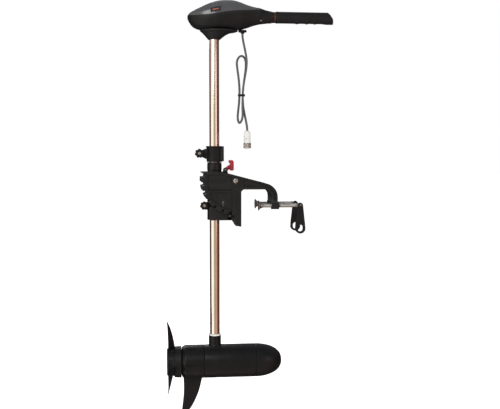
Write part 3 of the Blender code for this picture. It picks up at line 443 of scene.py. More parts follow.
CORD_ROUTE = [
    (8.0, 0.0, 469.3),
    (8.3, 0.0, 460.0),
    (10.5, -0.5, 446.0),
    (15.0, -1.5, 424.0),
    (18.5, -3.0, 403.0),
    (19.0, -4.0, 388.0),
    (17.0, -4.5, 368.0),
    (12.0, -4.5, 340.0),
    (9.0, -4.2, 315.0),
    (8.0, -4.0, 290.0),
    (7.5, -5.0, 268.0),
    (7.5, -9.0, 248.0),
    (5.5, -10.0, 235.0),
    (1.0, -4.5, 226.5),
    (-2.5, 5.0, 228.5),
    (-4.5, 9.5, 241.0),
    (-3.5, 7.0, 258.0),
    (-1.0, 4.2, 285.0),
    (0.0, 4.0, 315.0),
    (-2.0, 4.2, 345.0),
    (-5.5, 4.5, 372.0),
    (-7.0, 5.5, 392.0),
    (-2.0, 6.0, 405.0),
    (6.5, 7.0, 409.5),
    (14.5, 8.0, 404.0),
    (18.0, 8.0, 390.0),
    (17.0, 7.0, 370.0),
    (13.5, 5.5, 345.0),
    (10.0, 4.6, 318.0),
    (9.0, 4.2, 292.0),
    (10.5, 4.0, 270.0),
    (14.0, 3.5, 250.0),
    (18.0, 2.0, 230.0),
    (20.5, 0.5, 214.0),
    (21.0, 0.0, 204.8),
]
CORD_R = 3.0
CORD_STEPS = 8  # points on the curve for each point of the route


def cord_line():
    count = (len(CORD_ROUTE) - 1) * CORD_STEPS
    return [catmull(CORD_ROUTE, step / CORD_STEPS) for step in range(count + 1)]


def make_cord():
    line = cord_line()
    curve = bpy.data.curves.new("cord", "CURVE")
    curve.dimensions = "3D"
    curve.bevel_depth = CORD_R * MM
    curve.bevel_resolution = 6
    curve.use_fill_caps = True
    spline = curve.splines.new("POLY")
    spline.points.add(len(line) - 1)
    for spot, place in zip(spline.points, line):
        spot.co = (*point(*place), 1.0)
    spline.use_smooth = True
    curve.materials.append(MATERIALS["cord"])
    cord = bpy.data.objects.new("cord", curve)
    bpy.context.scene.collection.objects.link(cord)
    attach(cord, "column")
    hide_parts("power_cord")
    length = sum((Vector(b) - Vector(a)).length for a, b in zip(line, line[1:])) * MM
    return cord, length


def make_plug():
    def flats(along, angle, radius):
        ribbed = PLUG_TOP - 20 < along < PLUG_TOP - 8.5
        return radius - (0.7 * (0.5 - 0.5 * math.cos(16 * angle)) if ribbed else 0.0)

    top = PLUG_TOP
    centre = (PLUG_X, 0, 0)
    shape = bmesh.new()
    profile = [(top, 0), (top, 4.6), (top - 3, 7.6), (top - 7, 9.0), (top - 9, 9.4), (top - 20, 9.4)]
    for groove in (20.0, 23.0):
        profile += [(top - groove, 8.3), (top - groove - 1.2, 8.3), (top - groove - 1.2, 9.6)]
    profile += [(top - 33.8, 9.6), (top - 33.8, 7.2), (top - 49.8, 7.2)]
    profile += [(top - 49.8, 5.6), (top - 40, 5.6), (top - 40, 0)]
    turned(shape, "Z", centre, profile, 96, 0.4, relief=flats, spacing=1.5)
    for index in range(3):
        turn = 2 * math.pi * index / 3
        spot = (PLUG_X + 2.9 * math.cos(turn), 2.9 * math.sin(turn), 0)
        rod(shape, "Z", spot, top - 48.5, top - 39, 0.8, 16, 0.3)
    body = piece("plug_shell", shape, "satin_white", "column", ["plug_body"])

    def knurl(along, angle, radius):
        inside = radius > 9.5 and top - 46.5 < along < top - 36.5
        return radius - (0.6 * (0.5 - 0.5 * math.cos(24 * angle)) if inside else 0.0)

    shape = bmesh.new()
    profile = [(top - 48, 7.5), (top - 48, 10.4), (top - 34.4, 10.4), (top - 34.4, 7.5)]
    turned(shape, "Z", centre, profile, 144, 0.6, True, knurl, 1.0)
    ring = piece("plug_ring", shape, "zinc", "column", ["plug_coupling_ring"])

    shape = bmesh.new()
    low, high = span("cord_tie")
    outline = [(low.x, low.y), (high.x, low.y), (high.x, high.y), (low.x, high.y)]
    hole = [(x + (0.9 if x < 4 else -0.9), y + (0.9 if y < 0 else -0.9)) for x, y in outline]
    prism(shape, outline, low.z, high.z, "XY", [hole], 3.5, 0.35)
    block(shape, (high.x - 0.9, -2.4, low.z - 0.6), (high.x + 1.6, 2.4, high.z + 0.6), 0.7, 0.4)
    tie = piece("tie_band", shape, "black_plastic", "column", ["cord_tie"])
    return [body, ring, tie]


cord, cord_length = make_cord()
plug_pieces = make_plug()


def make_gland():
    low, high = span("cord_gland")
    profile = [(low.z, 3.3), (low.z, 5.0)]
    for step in range(2):
        base = low.z + 0.8 + step * 1.4
        profile += [(base, 5.2 + step * 0.6), (base + 0.8, 5.2 + step * 0.6), (base + 0.8, 4.7 + step * 0.5)]
    profile += [(high.z - 5.6, 6.0), (high.z - 5.6, 11.4), (high.z - 0.8, 11.4), (high.z - 0.8, 7.2)]
    profile += [(high.z, 7.2), (high.z, 3.3)]
    shape = bmesh.new()
    turned(shape, "Z", (middle("cord_gland").x, 0, 0), profile, 64, 0.25, True)
    return piece("gland_boot", shape, "rubber", "column", ["cord_gland"])


make_gland()


# Motor pod


def make_pod():
    centre = (0, 0, MOTOR_Z)
    shape = bmesh.new()
    bore = 39.0
    profile = [
        (MOTOR_REAR, bore),
        (MOTOR_REAR, MOTOR_R - 0.9),
        (MOTOR_REAR + 1.1, MOTOR_R),
        (MOTOR_FRONT - 1.1, MOTOR_R),
        (MOTOR_FRONT, MOTOR_R - 0.9),
        (MOTOR_FRONT, bore),
    ]
    turned(shape, "X", centre, profile, 160, 0.3, True)
    socket_r = 17.0
    rings = []
    steps = 96
    for height, reach in socket_stations(socket_r):
        ring = []
        for step in range(steps):
            angle = 2 * math.pi * step / steps
            y = reach * math.sin(angle)
            on_pod = MOTOR_Z + math.sqrt(MOTOR_R**2 - y**2)
            z = on_pod - 1.0 if height is None else max(height, on_pod - 0.4)
            ring.append((SHAFT_X + reach * math.cos(angle), y, z))
        rings.append(ring)
    rings.append([(SHAFT_X + 13.8 * math.cos(2 * math.pi * i / steps), 13.8 * math.sin(2 * math.pi * i / steps), SOCKET_TOP) for i in range(steps)])
    rings.append([(SHAFT_X + 13.8 * math.cos(2 * math.pi * i / steps), 13.8 * math.sin(2 * math.pi * i / steps), SHAFT_LOW - 1) for i in range(steps)])
    skin(shape, rings, caps=False)
    piece("pod_housing", shape, "pod_paint", "column", ["motor_housing"])


def socket_stations(socket_r):
    """Height and radius up the shaft socket, from its foot on the pod to its rim."""
    crown = MOTOR_Z + MOTOR_R
    made = [(None, socket_r + 6.0)]
    for step in range(7):
        turn = math.radians(90 * step / 6)
        made.append((crown - 2.5 + 7.5 * (1 - math.cos(turn)), socket_r + 5.0 * (1 - math.sin(turn))))
    made += [(SOCKET_TOP - 2.2, socket_r), (SOCKET_TOP - 1.9, socket_r + 0.5), (SOCKET_TOP - 0.4, socket_r + 0.5)]
    made += [(SOCKET_TOP, socket_r)]
    return made


def make_bell():
    """The rear bell, with six grooves that narrow towards the pod."""

    def grooves(along, angle, radius):
        if radius < 40:
            return radius
        turn = (math.degrees(angle) + 180.0) % 60.0
        off = min(turn, 60.0 - turn) * math.radians(1) * MOTOR_R
        run = (along - BELL_REAR - 8) / 38
        if not 0 < run < 1:
            return radius
        half = 3.6 - 2.4 * run
        wall = smooth((half - off) / 0.9 + 0.5)
        return radius - 2.4 * wall * smooth(run * 12) * smooth((1 - run) * 12)

    shape = bmesh.new()
    inner = 26.0
    profile = [
        (BELL_REAR, 9.0),
        (BELL_REAR, 37.0),
        (BELL_REAR + 1.2, 40.5),
        (BELL_REAR + 4.5, 43.2),
        (BELL_REAR + 10, MOTOR_R),
        (MOTOR_REAR - 1.3, MOTOR_R),
        (MOTOR_REAR - 0.3, MOTOR_R - 0.9),
        (MOTOR_REAR - 0.3, 38.6),
        (MOTOR_REAR + 6.9, 38.6),
        (MOTOR_REAR + 6.9, inner),
        (BELL_REAR + 15, inner),
        (BELL_REAR + 15, 9.0),
    ]
    turned(shape, "X", (0, 0, MOTOR_Z), profile, 360, 0.8, True, grooves, 1.2)
    piece("pod_rear_bell", shape, "pod_paint", "column", ["rear_end_bell"])


def make_nose():
    shape = bmesh.new()
    start = MOTOR_FRONT + 0.3
    length = NOSE_TIP - start
    profile = [(start - 6, 0), (start - 6, 38.6), (start, 38.6), (start, MOTOR_R - 0.9), (start + 1.1, MOTOR_R)]
    for step in range(1, 41):
        turn = math.radians(90 * step / 40)
        profile.append((start + 1.1 + (length - 1.1) * math.sin(turn), MOTOR_R * max(0.0, math.cos(turn)) ** 0.82))
    profile[-1] = (NOSE_TIP, 0)
    turned(shape, "X", (0, 0, MOTOR_Z), profile, 160, 0.2)
    piece("pod_nose", shape, "pod_paint", "column", ["nose_cone"])


SKEG_ROWS = [
    # height below the pod's axis, front edge, rear edge, half thickness
    (-38.0, -103.0, -158.6, 4.6),
    (-47.0, -106.0, -158.2, 3.5),
    (-58.0, -108.5, -157.6, 3.3),
    (-75.0, -112.5, -157.3, 3.1),
    (-92.0, -118.0, -158.0, 2.8),
    (-108.0, -125.0, -159.4, 2.5),
    (-122.0, -132.0, -161.0, 2.2),
    (-132.0, -138.5, -162.4, 1.9),
    (-138.0, -143.5, -162.9, 1.5),
    (-142.0, -149.5, -161.5, 1.0),
    (-144.3, -153.0, -158.5, 0.5),
]


def make_skeg():
    shape = bmesh.new()
    rings = []
    rows = (len(SKEG_ROWS) - 1) * 4
    for row in range(rows + 1):
        height, front, rear, half = catmull(SKEG_ROWS, row / 4)
        middle_x, chord = (front + rear) / 2, (front - rear) / 2
        ring = []
        for step in range(32):
            turn = 2 * math.pi * step / 32
            across = math.copysign(abs(math.sin(turn)) ** 0.8, math.sin(turn)) * half
            ring.append((middle_x + chord * math.cos(turn), across, MOTOR_Z + height))
        rings.append(ring)
    skin(shape, rings)
    piece("pod_skeg", shape, "black_plastic", "column", ["skeg"])


# Propeller

PROP_HUB_R = 39.0
PROP_FLANGE_R = 43.6
PROP_R = 118.0
PROP_PITCH = 105.0
PROP_RAKE = 12.0
BLADE_PHASE = 3.5
BLADE_SWEEP = 9.0
BLADE_ROOT_R = 35.5
BLADE_SECTIONS = [
    # radius, half chord, half thickness
    (BLADE_ROOT_R, 22.0, 3.0),
    (47.0, 27.0, 2.6),
    (63.0, 29.0, 2.0),
    (80.0, 27.0, 1.6),
    (95.0, 20.0, 1.2),
    (106.0, 12.0, 0.9),
    (117.8, 4.0, 0.6),
]


def blade_rings(phase):
    """Rounded sections of one blade, from inside the hub to the tip."""
    rings = []
    rows = (len(BLADE_SECTIONS) - 1) * 5
    for row in range(rows + 1):
        radius, half_chord, half_thick = catmull(BLADE_SECTIONS, row / 5)
        slope = math.atan2(PROP_PITCH, 2 * math.pi * radius)
        share = max(0.0, (radius - BLADE_ROOT_R) / (PROP_R - BLADE_ROOT_R))
        centre = PROP_FRONT - 27.5 - PROP_RAKE * share**1.8
        sweep = BLADE_SWEEP * share**2
        ring = []
        for step in range(36):
            turn = 2 * math.pi * step / 36
            chord = half_chord * math.cos(turn)
            thick = half_thick * math.sin(turn) * (1.0 - 0.3 * math.cos(turn))
            camber = 2.8 * math.sin(turn) ** 2 * share * (1 - share)
            x = centre - chord * math.sin(slope) + (thick - camber) * math.cos(slope)
            around = (chord + sweep) * math.cos(slope) + thick * math.sin(slope)
            angle = math.radians(phase) + around / radius
            ring.append((x, -radius * math.sin(angle), MOTOR_Z + radius * math.cos(angle)))
        rings.append(ring)
    return rings


def make_propeller():
    def pockets(along, angle, radius):
        if radius < 36:
            return radius
        turn = (math.degrees(angle) + 8.0) % 40.0
        off = (abs(turn - 20.0) - 13.5) * math.radians(1) * PROP_HUB_R
        depth = smooth(0.5 - off / 1.2) * smooth((along - PROP_REAR - 5.5) / 1.5) * smooth((PROP_FRONT - 21 - along) / 1.5)
        return radius - 1.5 * depth

    centre = (0, 0, MOTOR_Z)
    shape = bmesh.new()
    profile = [
        (PROP_REAR + 9, 14.5),
        (PROP_REAR + 9, 33.0),
        (PROP_REAR, 34.0),
        (PROP_REAR, 36.0),
        (PROP_REAR + 4, PROP_HUB_R - 0.5),
        (PROP_FRONT - 19.5, PROP_HUB_R),
        (PROP_FRONT - 18, PROP_FLANGE_R - 1),
        (PROP_FRONT - 0.8, PROP_FLANGE_R),
        (PROP_FRONT - 0.1, PROP_FLANGE_R - 1),
        (PROP_FRONT, PROP_FLANGE_R - 2.5),
        (PROP_FRONT, 5.4),
        (PROP_REAR + 16, 5.4),
        (PROP_REAR + 16, 12.0),
        (PROP_REAR, 12.0),
        (PROP_REAR, 14.0),
    ]
    turned(shape, "X", centre, profile, 288, 0.8, True, pockets, 1.3)
    for index in range(6):
        turn = Matrix.Rotation(math.radians(60 * index + 20), 3, "X")
        web = bmesh.new()
        block(web, (PROP_REAR + 1.0, -1.3, 13.0), (PROP_REAR + 11, 1.3, 34.5), 0.5, 0.5)
        for vertex in web.verts:
            vertex.co = turn @ vertex.co + point(0, 0, MOTOR_Z)
        add_shape(shape, web)
    for index in range(3):
        skin(shape, blade_rings(BLADE_PHASE + 120 * index))
    piece("prop_moulding", shape, "black_plastic", "rotor", ["propeller"], 40)
    shape = bmesh.new()
    tube(shape, "X", centre, PROP_REAR + 14, PROP_REAR + 15.7, 4.4, 10.5, 64, 0.3)
    piece("prop_washer", shape, "zinc", "rotor", ["propeller_washer"])
    shape = bmesh.new()
    hexagon(shape, "X", centre, PROP_REAR + 5, PROP_REAR + 13.7, 4.3, 8.5)
    piece("prop_nut", shape, "zinc", "rotor", ["propeller_nut"])
    shape = bmesh.new()
    low, high = span("propeller_shaft")
    profile = [(low.x, 0), (low.x, 4.0), (PROP_REAR + 17, 4.0), (PROP_REAR + 18, 5.0), (high.x, 5.0), (high.x, 0)]
    turned(shape, "X", centre, profile, 48, 0.6)
    piece("prop_shaft", shape, "zinc", "rotor", ["propeller_shaft"])


def add_shape(shape, other):
    """Put another shape's faces into this one, and let go of it."""
    mesh = bpy.data.meshes.new("part")
    other.to_mesh(mesh)
    other.free()
    shape.from_mesh(mesh)
    bpy.data.meshes.remove(mesh)


def hexagon(shape, axis, centre, low, high, bore, corner):
    """A hexagonal nut with chamfered corners."""

    def flats(along, angle, radius):
        if radius < bore + 1:
            return radius
        apothem = corner * math.cos(math.radians(30))
        side = (angle + math.radians(30)) % math.radians(60) - math.radians(30)
        return min(radius, apothem / math.cos(side))

    chamfer = corner * 0.14
    profile = [
        (low, bore),
        (low, corner - chamfer),
        (low + chamfer * 0.6, corner),
        (high - chamfer * 0.6, corner),
        (high, corner - chamfer),
        (high, bore),
    ]
    turned(shape, axis, centre, profile, 96, 0.15, True, flats)


make_pod()
make_bell()
make_nose()
make_skeg()
make_propeller()


# Shaft and control head


def make_shaft():
    shape = bmesh.new()
    tube(shape, "Z", (SHAFT_X, 0, 0), SHAFT_LOW, SHAFT_HIGH, SHAFT_R - 2, SHAFT_R, 160, 0.4)
    piece("shaft_column", shape, "polished_steel", "column", ["shaft_tube"])
    low, high = span("socket_ring")
    shape = bmesh.new()
    tube(shape, "Z", (SHAFT_X, 0, 0), low.z, high.z, SHAFT_R + 0.2, 17.0, 96, 0.9)
    piece("shaft_socket_ring", shape, "satin_white", "column", ["socket_ring"])


HEAD_STATIONS = [
    # X, half width, underside, seam, top
    (-142.5, 5.0, 507.0, 514.5, 518.6),
    (-138.0, 17.0, 498.0, 514.0, 523.0),
    (-128.0, 28.0, 486.0, 513.0, 529.0),
    (-112.0, 38.0, 479.0, 512.5, 537.0),
    (-90.0, 46.0, 477.0, 513.0, 547.5),
    (-68.0, 49.0, 477.0, 516.0, 554.5),
    (-45.0, 48.0, 477.0, 520.0, 558.0),
    (-20.0, 44.0, 477.5, 524.0, 558.0),
    (0.0, 38.0, 480.0, 526.5, 553.5),
    (18.0, 31.0, 484.0, 528.5, 547.0),
    (38.0, 23.5, 491.0, 530.5, 541.5),
    (56.0, 18.5, 495.5, 533.0, 538.5),
]
NECK_STATIONS = [
    (56.6, 18.5, 495.5, 514.5, 538.5),
    (64.0, 17.2, 496.6, 514.5, 536.0),
    (72.0, 16.3, 497.5, 514.5, 533.5),
    (80.0, 15.9, 498.3, 514.5, 531.6),
    (NECK_END, 15.8, 498.7, 514.5, 530.3),
]
HALF = 32


def head_half(station, upper, inset=0.0):
    """Half of a section of the head, from its near side to its far side."""
    x, half_width, low, seam, high = station
    height = (high - seam) if upper else (seam - low)
    power = 0.8 if upper else 0.72
    ring = []
    for step in range(HALF + 1):
        turn = math.pi * step / HALF
        across = -math.copysign(abs(math.cos(turn)) ** power, math.cos(turn)) * (half_width - inset)
        rise = abs(math.sin(turn)) ** power * (height - inset)
        ring.append((x, across, seam + (rise if upper else -rise)))
    return ring


def head_rows(stations, each=5):
    return [catmull(stations, row / each) for row in range((len(stations) - 1) * each + 1)]


def make_head():
    shape = bmesh.new()
    rings = []
    for station in head_rows(HEAD_STATIONS):
        lower = head_half(station, False)
        lip = 0.7
        sunk = [(x, y * (1 - lip / max(4.0, station[1])), z) for x, y, z in (lower[-1], lower[0])]
        flat = [(x, y * (1 - 2 * k / 9), station[3]) for k in range(1, 9) for x, y, z in [sunk[0]]]
        rings.append([*lower, *flat])
    for station in head_rows(NECK_STATIONS):
        upper = head_half(station, True)
        picks = [upper[round(HALF - HALF * k / 9)] for k in range(1, 9)]
        rings.append([*head_half(station, False), *picks])
    skin(shape, rings)
    piece("head_shell", shape, "black_plastic", "column", ["head_lower_shell"], 50)

    shape = bmesh.new()
    rings = []
    for station in head_rows(HEAD_STATIONS):
        x, half_width, low, seam, high = station
        raised = (x, half_width, low, seam + 0.35, high)
        outer = []
        for spot_x, y, z in head_half(raised, True):
            lift = z - raised[3]
            step_in = 0.8 * smooth((lift - 2.6) / 1.2)
            keep = 1 - step_in / max(6.0, half_width)
            outer.append((spot_x, y * keep, z - step_in * 0.5 * smooth(lift / max(3.0, high - seam))))
        rings.append(outer)
    skin(shape, rings)
    piece("head_cover", shape, "cover", "column", ["head_top_cover"], 60)


def cover_patch(x_low, x_high, side_low, side_high, thick, columns=12, rows=8):
    """A thin closed patch on the near side of the cover."""
    shape = bmesh.new()
    rings = []
    for column in range(columns + 1):
        x = x_low + (x_high - x_low) * column / columns
        index = next(i for i in range(len(HEAD_STATIONS) - 1) if HEAD_STATIONS[i + 1][0] >= x)
        start, end = HEAD_STATIONS[index], HEAD_STATIONS[index + 1]
        share = (x - start[0]) / (end[0] - start[0])
        _, half_width, _, seam, high = catmull(HEAD_STATIONS, index + share)
        outer, inner = [], []
        for row in range(rows + 1):
            turn = math.radians(side_low + (side_high - side_low) * row / rows)
            for target, extra in ((outer, thick), (inner, -0.8)):
                y = -(math.cos(turn) ** 0.8) * (half_width - 0.8 + extra)
                z = seam + 0.35 + (math.sin(turn) ** 0.8) * (high - seam - 0.4 + extra * 0.6)
                target.append((x, y, z))
        rings.append(outer + inner[::-1])
    skin(shape, rings)
    return shape


def make_badge():
    piece("head_badge_plate", cover_patch(-82, -54, 3, 21, 0.35), "carbon", "column", (), 40)
    shape = cover_patch(-76, -60, 9.5, 13.5, 0.6, 8, 4)
    piece("head_badge_bar", shape, "badge", "column", (), 40)


def make_skirt():
    """The fairing under the head: an oval flange that runs down to the shaft, with shallow ribs."""
    steps = 144
    rings = []
    levels = [
        # height, share of the way from the oval to the round end, extra outwards
        (477.0, 0.0, -2.0),
        (477.0, 0.0, 1.6),
        (474.6, 0.0, 1.8),
        (474.2, 0.0, 0.2),
        (472.8, 0.004, 0.1),
    ]
    for step in range(1, 25):
        share = step / 24
        levels.append((472.8 - 20.2 * share, share, 0.0))
    levels += [(452.1, 1.0, -0.6), (452.1, 1.0, -2.8)]
    for height, depth, extra in levels:
        ring = []
        for step in range(steps):
            angle = 2 * math.pi * step / steps
            ridge = 0.55 * (0.5 + 0.5 * math.cos(angle * 14)) ** 3 * smooth(depth * 4) * smooth((1 - depth) * 5)
            share = min(1.0, depth) ** (0.62 - 0.17 * math.cos(angle))
            x = -57 + (50 + extra + ridge) * math.cos(angle)
            y = (33 + extra + ridge) * math.sin(angle)
            end_r = 17 + extra + ridge
            end_x, end_y = SHAFT_X + end_r * math.cos(angle), end_r * math.sin(angle)
            ring.append((x + (end_x - x) * share, y + (end_y - y) * share, height))
        rings.append(ring)
    bore = SHAFT_R + 0.3
    for height in (452.1, 477.0):
        rings.append(
            [
                (SHAFT_X + bore * math.cos(2 * math.pi * i / steps), bore * math.sin(2 * math.pi * i / steps), height)
                for i in range(steps)
            ]
        )
    shape = bmesh.new()
    skin(shape, rings, joined_ends=True)
    piece("head_fairing", shape, "black_plastic", "column", ["head_skirt"], 40)


def make_neck_trim():
    low, high = span("tiller_ring")
    groove_low, groove_high = high.x - 3.4, high.x - 1.8
    profile = [(low.x, 9.6), (low.x, 15.0), (groove_low, 15.0), (groove_low, 14.2), (groove_high, 14.2)]
    profile += [(groove_high, 15.0), (high.x, 15.0), (high.x, 9.6)]
    shape = bmesh.new()
    turned(shape, "X", (0, 0, TILLER_Z), profile, 96, 0.25, True)
    piece("neck_ring", shape, "black_plastic", "column", ["tiller_ring"])
    shape = bmesh.new()
    tube(shape, "X", (0, 0, TILLER_Z), groove_low + 0.1, groove_high - 0.1, 14.3, 14.95, 96, 0.2)
    piece("neck_ring_inlay", shape, "copper", "column")
    for side, sign in (("near", -1), ("far", 1)):
        shape = bmesh.new()
        face = sign * 16.1
        profile = [(face - sign * 2, 0), (face - sign * 2, 2.6), (face + sign * 0.2, 2.6), (face + sign * 0.7, 1.8)]
        profile += [(face + sign * 0.7, 1.0), (face - sign * 0.5, 0.8), (face - sign * 0.5, 0)]
        turned(shape, "Y", (58, 0, 504), profile, 32, 0.2)
        piece(f"neck_screw_{side}", shape, "zinc", "column")


def make_tiller():
    centre = (0, 0, TILLER_Z)
    low, high = span("tiller_tube")
    shape = bmesh.new()
    tube(shape, "X", centre, low.x, high.x, 7.0, 9.0, 80, 0.4)
    piece("tiller_inner_tube", shape, "black_casting", "tiller", ["tiller_tube"])


GRIP_R = 16.0
RIDGES = (159.0, 186.0, 209.0, 236.0)


def grip_radius(x, angle):
    """The grip's radius at a distance along it and an angle up from the horizontal."""
    radius = GRIP_R - 0.2
    down = max(0.0, -math.sin(angle))
    bump = max(math.exp(-(((x - ridge) / 3.6) ** 2)) for ridge in RIDGES)
    bump = max(bump, smooth((x - 238) / 8))
    radius += 1.5 * bump * smooth(down * 1.6 - 0.2)
    if 106 < x < 236:
        rib = abs(math.sin(angle * 1.0)) < 0.995
        radius -= 0.22 * (0.5 - 0.5 * math.cos(44 * angle)) * (1 - bump) * smooth((x - 108) / 4) * smooth((236 - x) / 4) * rib
    start = smooth((x - GRIP_START) / 2.2)
    return radius - 1.6 * (1 - start) + 0.5 * math.exp(-(((x - GRIP_START - 4.5) / 2.0) ** 2))


def make_grip():
    """A round grip with finger ridges below, a flange at its root and an end that slants back."""
    steps = 176
    rings = []
    last = 238.0
    places = [GRIP_START + 0.8 * i for i in range(6)] + [GRIP_START + 4.8 + 2.0 * i for i in range(66)]
    places = [x for x in places if x < last] + [last]
    for x in places:
        rings.append([grip_spot(x, x, 2 * math.pi * i / steps, 0.0) for i in range(steps)])
    for step in range(1, 10):
        share = step / 9
        ring = []
        for i in range(steps):
            angle = 2 * math.pi * i / steps
            end = slant_x(math.sin(angle) * GRIP_R) - 1.4
            ring.append(grip_spot(last + (end - last) * share, last + 8, angle, 0.0))
        rings.append(ring)
    for share, tuck in ((0.45, 0.35), (0.8, 0.9), (1.0, 1.8)):
        ring = []
        for i in range(steps):
            angle = 2 * math.pi * i / steps
            end = slant_x(math.sin(angle) * (GRIP_R - tuck)) - 1.4 + 1.4 * share
            ring.append(grip_spot(end, last + 8, angle, tuck))
        rings.append(ring)
    for keep in (0.8, 0.5, 0.2):
        ring = []
        for i in range(steps):
            angle = 2 * math.pi * i / steps
            reach = GRIP_R * keep
            ring.append((slant_x(math.sin(angle) * reach), reach * math.cos(angle), TILLER_Z + reach * math.sin(angle)))
        rings.append(ring)
    rings.append([(slant_x(0), 0, TILLER_Z)])
    bore = 9.4
    start = []
    for x in (236.0, GRIP_START):
        start.append(
            [
                (x, bore * math.cos(2 * math.pi * i / steps), TILLER_Z + bore * math.sin(2 * math.pi * i / steps))
                for i in range(steps)
            ]
        )
    rings = [[(236.0, 0, TILLER_Z)], *start, *rings]
    shape = bmesh.new()
    skin(shape, rings, caps=False)
    piece("tiller_grip", shape, "rubber", "grip", ["grip"], 50)


def slant_x(height):
    """Where the grip's slanted end is at a height above its axis."""
    if height > -3.5:
        return 257.0 - (height + 3.5) * 0.62
    return 257.0 + (-3.5 - height) * 0.22


def grip_spot(x, along, angle, tuck):
    reach = grip_radius(along, angle) - tuck
    return (x, reach * math.cos(angle), TILLER_Z + reach * math.sin(angle))


make_shaft()
make_head()
make_badge()
make_skirt()
make_neck_trim()
make_tiller()
make_grip()


# Knobs, collar and swivel bracket


def knob(name, x, z, radius, face_y, body):
    """A knob with seven rounded lobes and a recessed bright nut at its middle."""

    def lobes(along, angle, reach):
        if reach < 7:
            return reach
        wave = (0.5 - 0.5 * math.cos(7 * angle)) ** 1.4
        return reach * (1.0 - 0.15 * wave)

    profile = [
        (face_y, 0),
        (face_y, radius * 0.6),
        (face_y - 3.6, radius * 0.62),
        (face_y - 5, radius * 0.9),
        (face_y - 6.5, radius * 0.98),
        (face_y - 12.0, radius * 0.98),
        (face_y - 13.8, radius * 0.86),
        (face_y - 14.4, radius * 0.5),
        (face_y - 14.4, 4.9),
        (face_y - 12.4, 4.7),
        (face_y - 12.4, 0),
    ]
    shape = bmesh.new()
    turned(shape, "Y", (x, 0, z), profile, 168, 0.8, relief=lobes)
    piece(f"{name}_grip", shape, "black_plastic", body, [name], 40)
    shape = bmesh.new()
    rod(shape, "Y", (x, 0, z), face_y - 14.2, face_y - 12.3, 2.6, 32, 0.5)
    hexagon(shape, "Y", (x, 0, z), face_y - 13.6, face_y - 12.3, 2.5, 4.5)
    piece(f"{name}_insert", shape, "zinc", body)


def clamp_bolt(name, node, body):
    low, high = span(node)
    spot = middle(node)
    shape = bmesh.new()
    rod(shape, "Y", (spot.x, 0, spot.z), low.y, high.y - 4, 2.8, 40, 0.4)
    hexagon(shape, "Y", (spot.x, 0, spot.z), high.y - 4, high.y, 0.8, 5.2)
    rod(shape, "Y", (spot.x, 0, spot.z), high.y - 3.5, high.y - 0.5, 1.2, 24, 0.2)
    piece(name, shape, "zinc", body, [node])


def make_collar():
    """The depth collar: a split ring with a square lug inboard and two clamping ears."""
    low, high = COLLAR_LOW, COLLAR_HIGH
    axis = (SHAFT_X, 0, 0)
    bore = SHAFT_R + 0.3
    shape = bmesh.new()
    steps = 96
    slit = math.radians(6.5)
    profile = fillet(
        [(low, bore), (low, 21.0), (low + 3.0, 21.6), (high - 4, 21.8), (high - 3.4, 23.4), (high, 23.4), (high, bore)],
        0.7,
    )
    rings = []
    for step in range(steps + 1):
        angle = math.pi + slit + (2 * math.pi - 2 * slit) * step / steps
        rings.append([(SHAFT_X + r * math.cos(angle), r * math.sin(angle), z) for z, r in profile])
    skin(shape, rings)
    block(shape, (-56, -14, low + 2), (-44.6, 14, high - 0.6), 1.2, 0.8, "XZ")
    for index in range(3):
        at = low + 10 + index * 11
        block(shape, (-57, -15.2, at), (-45.4, 15.2, at + 3), 0.6, 0.5, "XZ")
    ear = [(-80, 159), (-94, 155)]
    ear += arc((DEPTH_KNOB.x, DEPTH_KNOB.z), 8.3, 60, 290, 14)
    ear += [(-94, 127), (-80, 121)]
    hole = arc((DEPTH_KNOB.x, DEPTH_KNOB.z), 3.1, 0, 345, 23)
    for near, far in ((-10, -1.7), (1.7, 10)):
        prism(shape, ear, near, far, "XZ", [hole], 2.0, 0.8)
    rib = [(-90, 146), (-104, 144.5), (-104, 139.5), (-90, 138)]
    for near, far in ((-11, -9), (9, 11)):
        prism(shape, rib, near, far, "XZ", (), 1.5, 0.5)
    piece("collar_ring", shape, "black_plastic", "collar", ["depth_collar"], 40)
    knob("depth_knob", DEPTH_KNOB.x, DEPTH_KNOB.z, 13.0, -10.4, "depth_knob")
    clamp_bolt("collar_bolt_detailed", "collar_bolt", "collar")
    knob("tension_knob", TENSION_KNOB.x, TENSION_KNOB.z, 12.3, -11.4, "tension_knob")
    clamp_bolt("tension_bolt_detailed", "tension_bolt", "swivel")


LOCK_X, LOCK_Z = middle("lock_bar").x, span("lock_bar")[0].z + 3.0


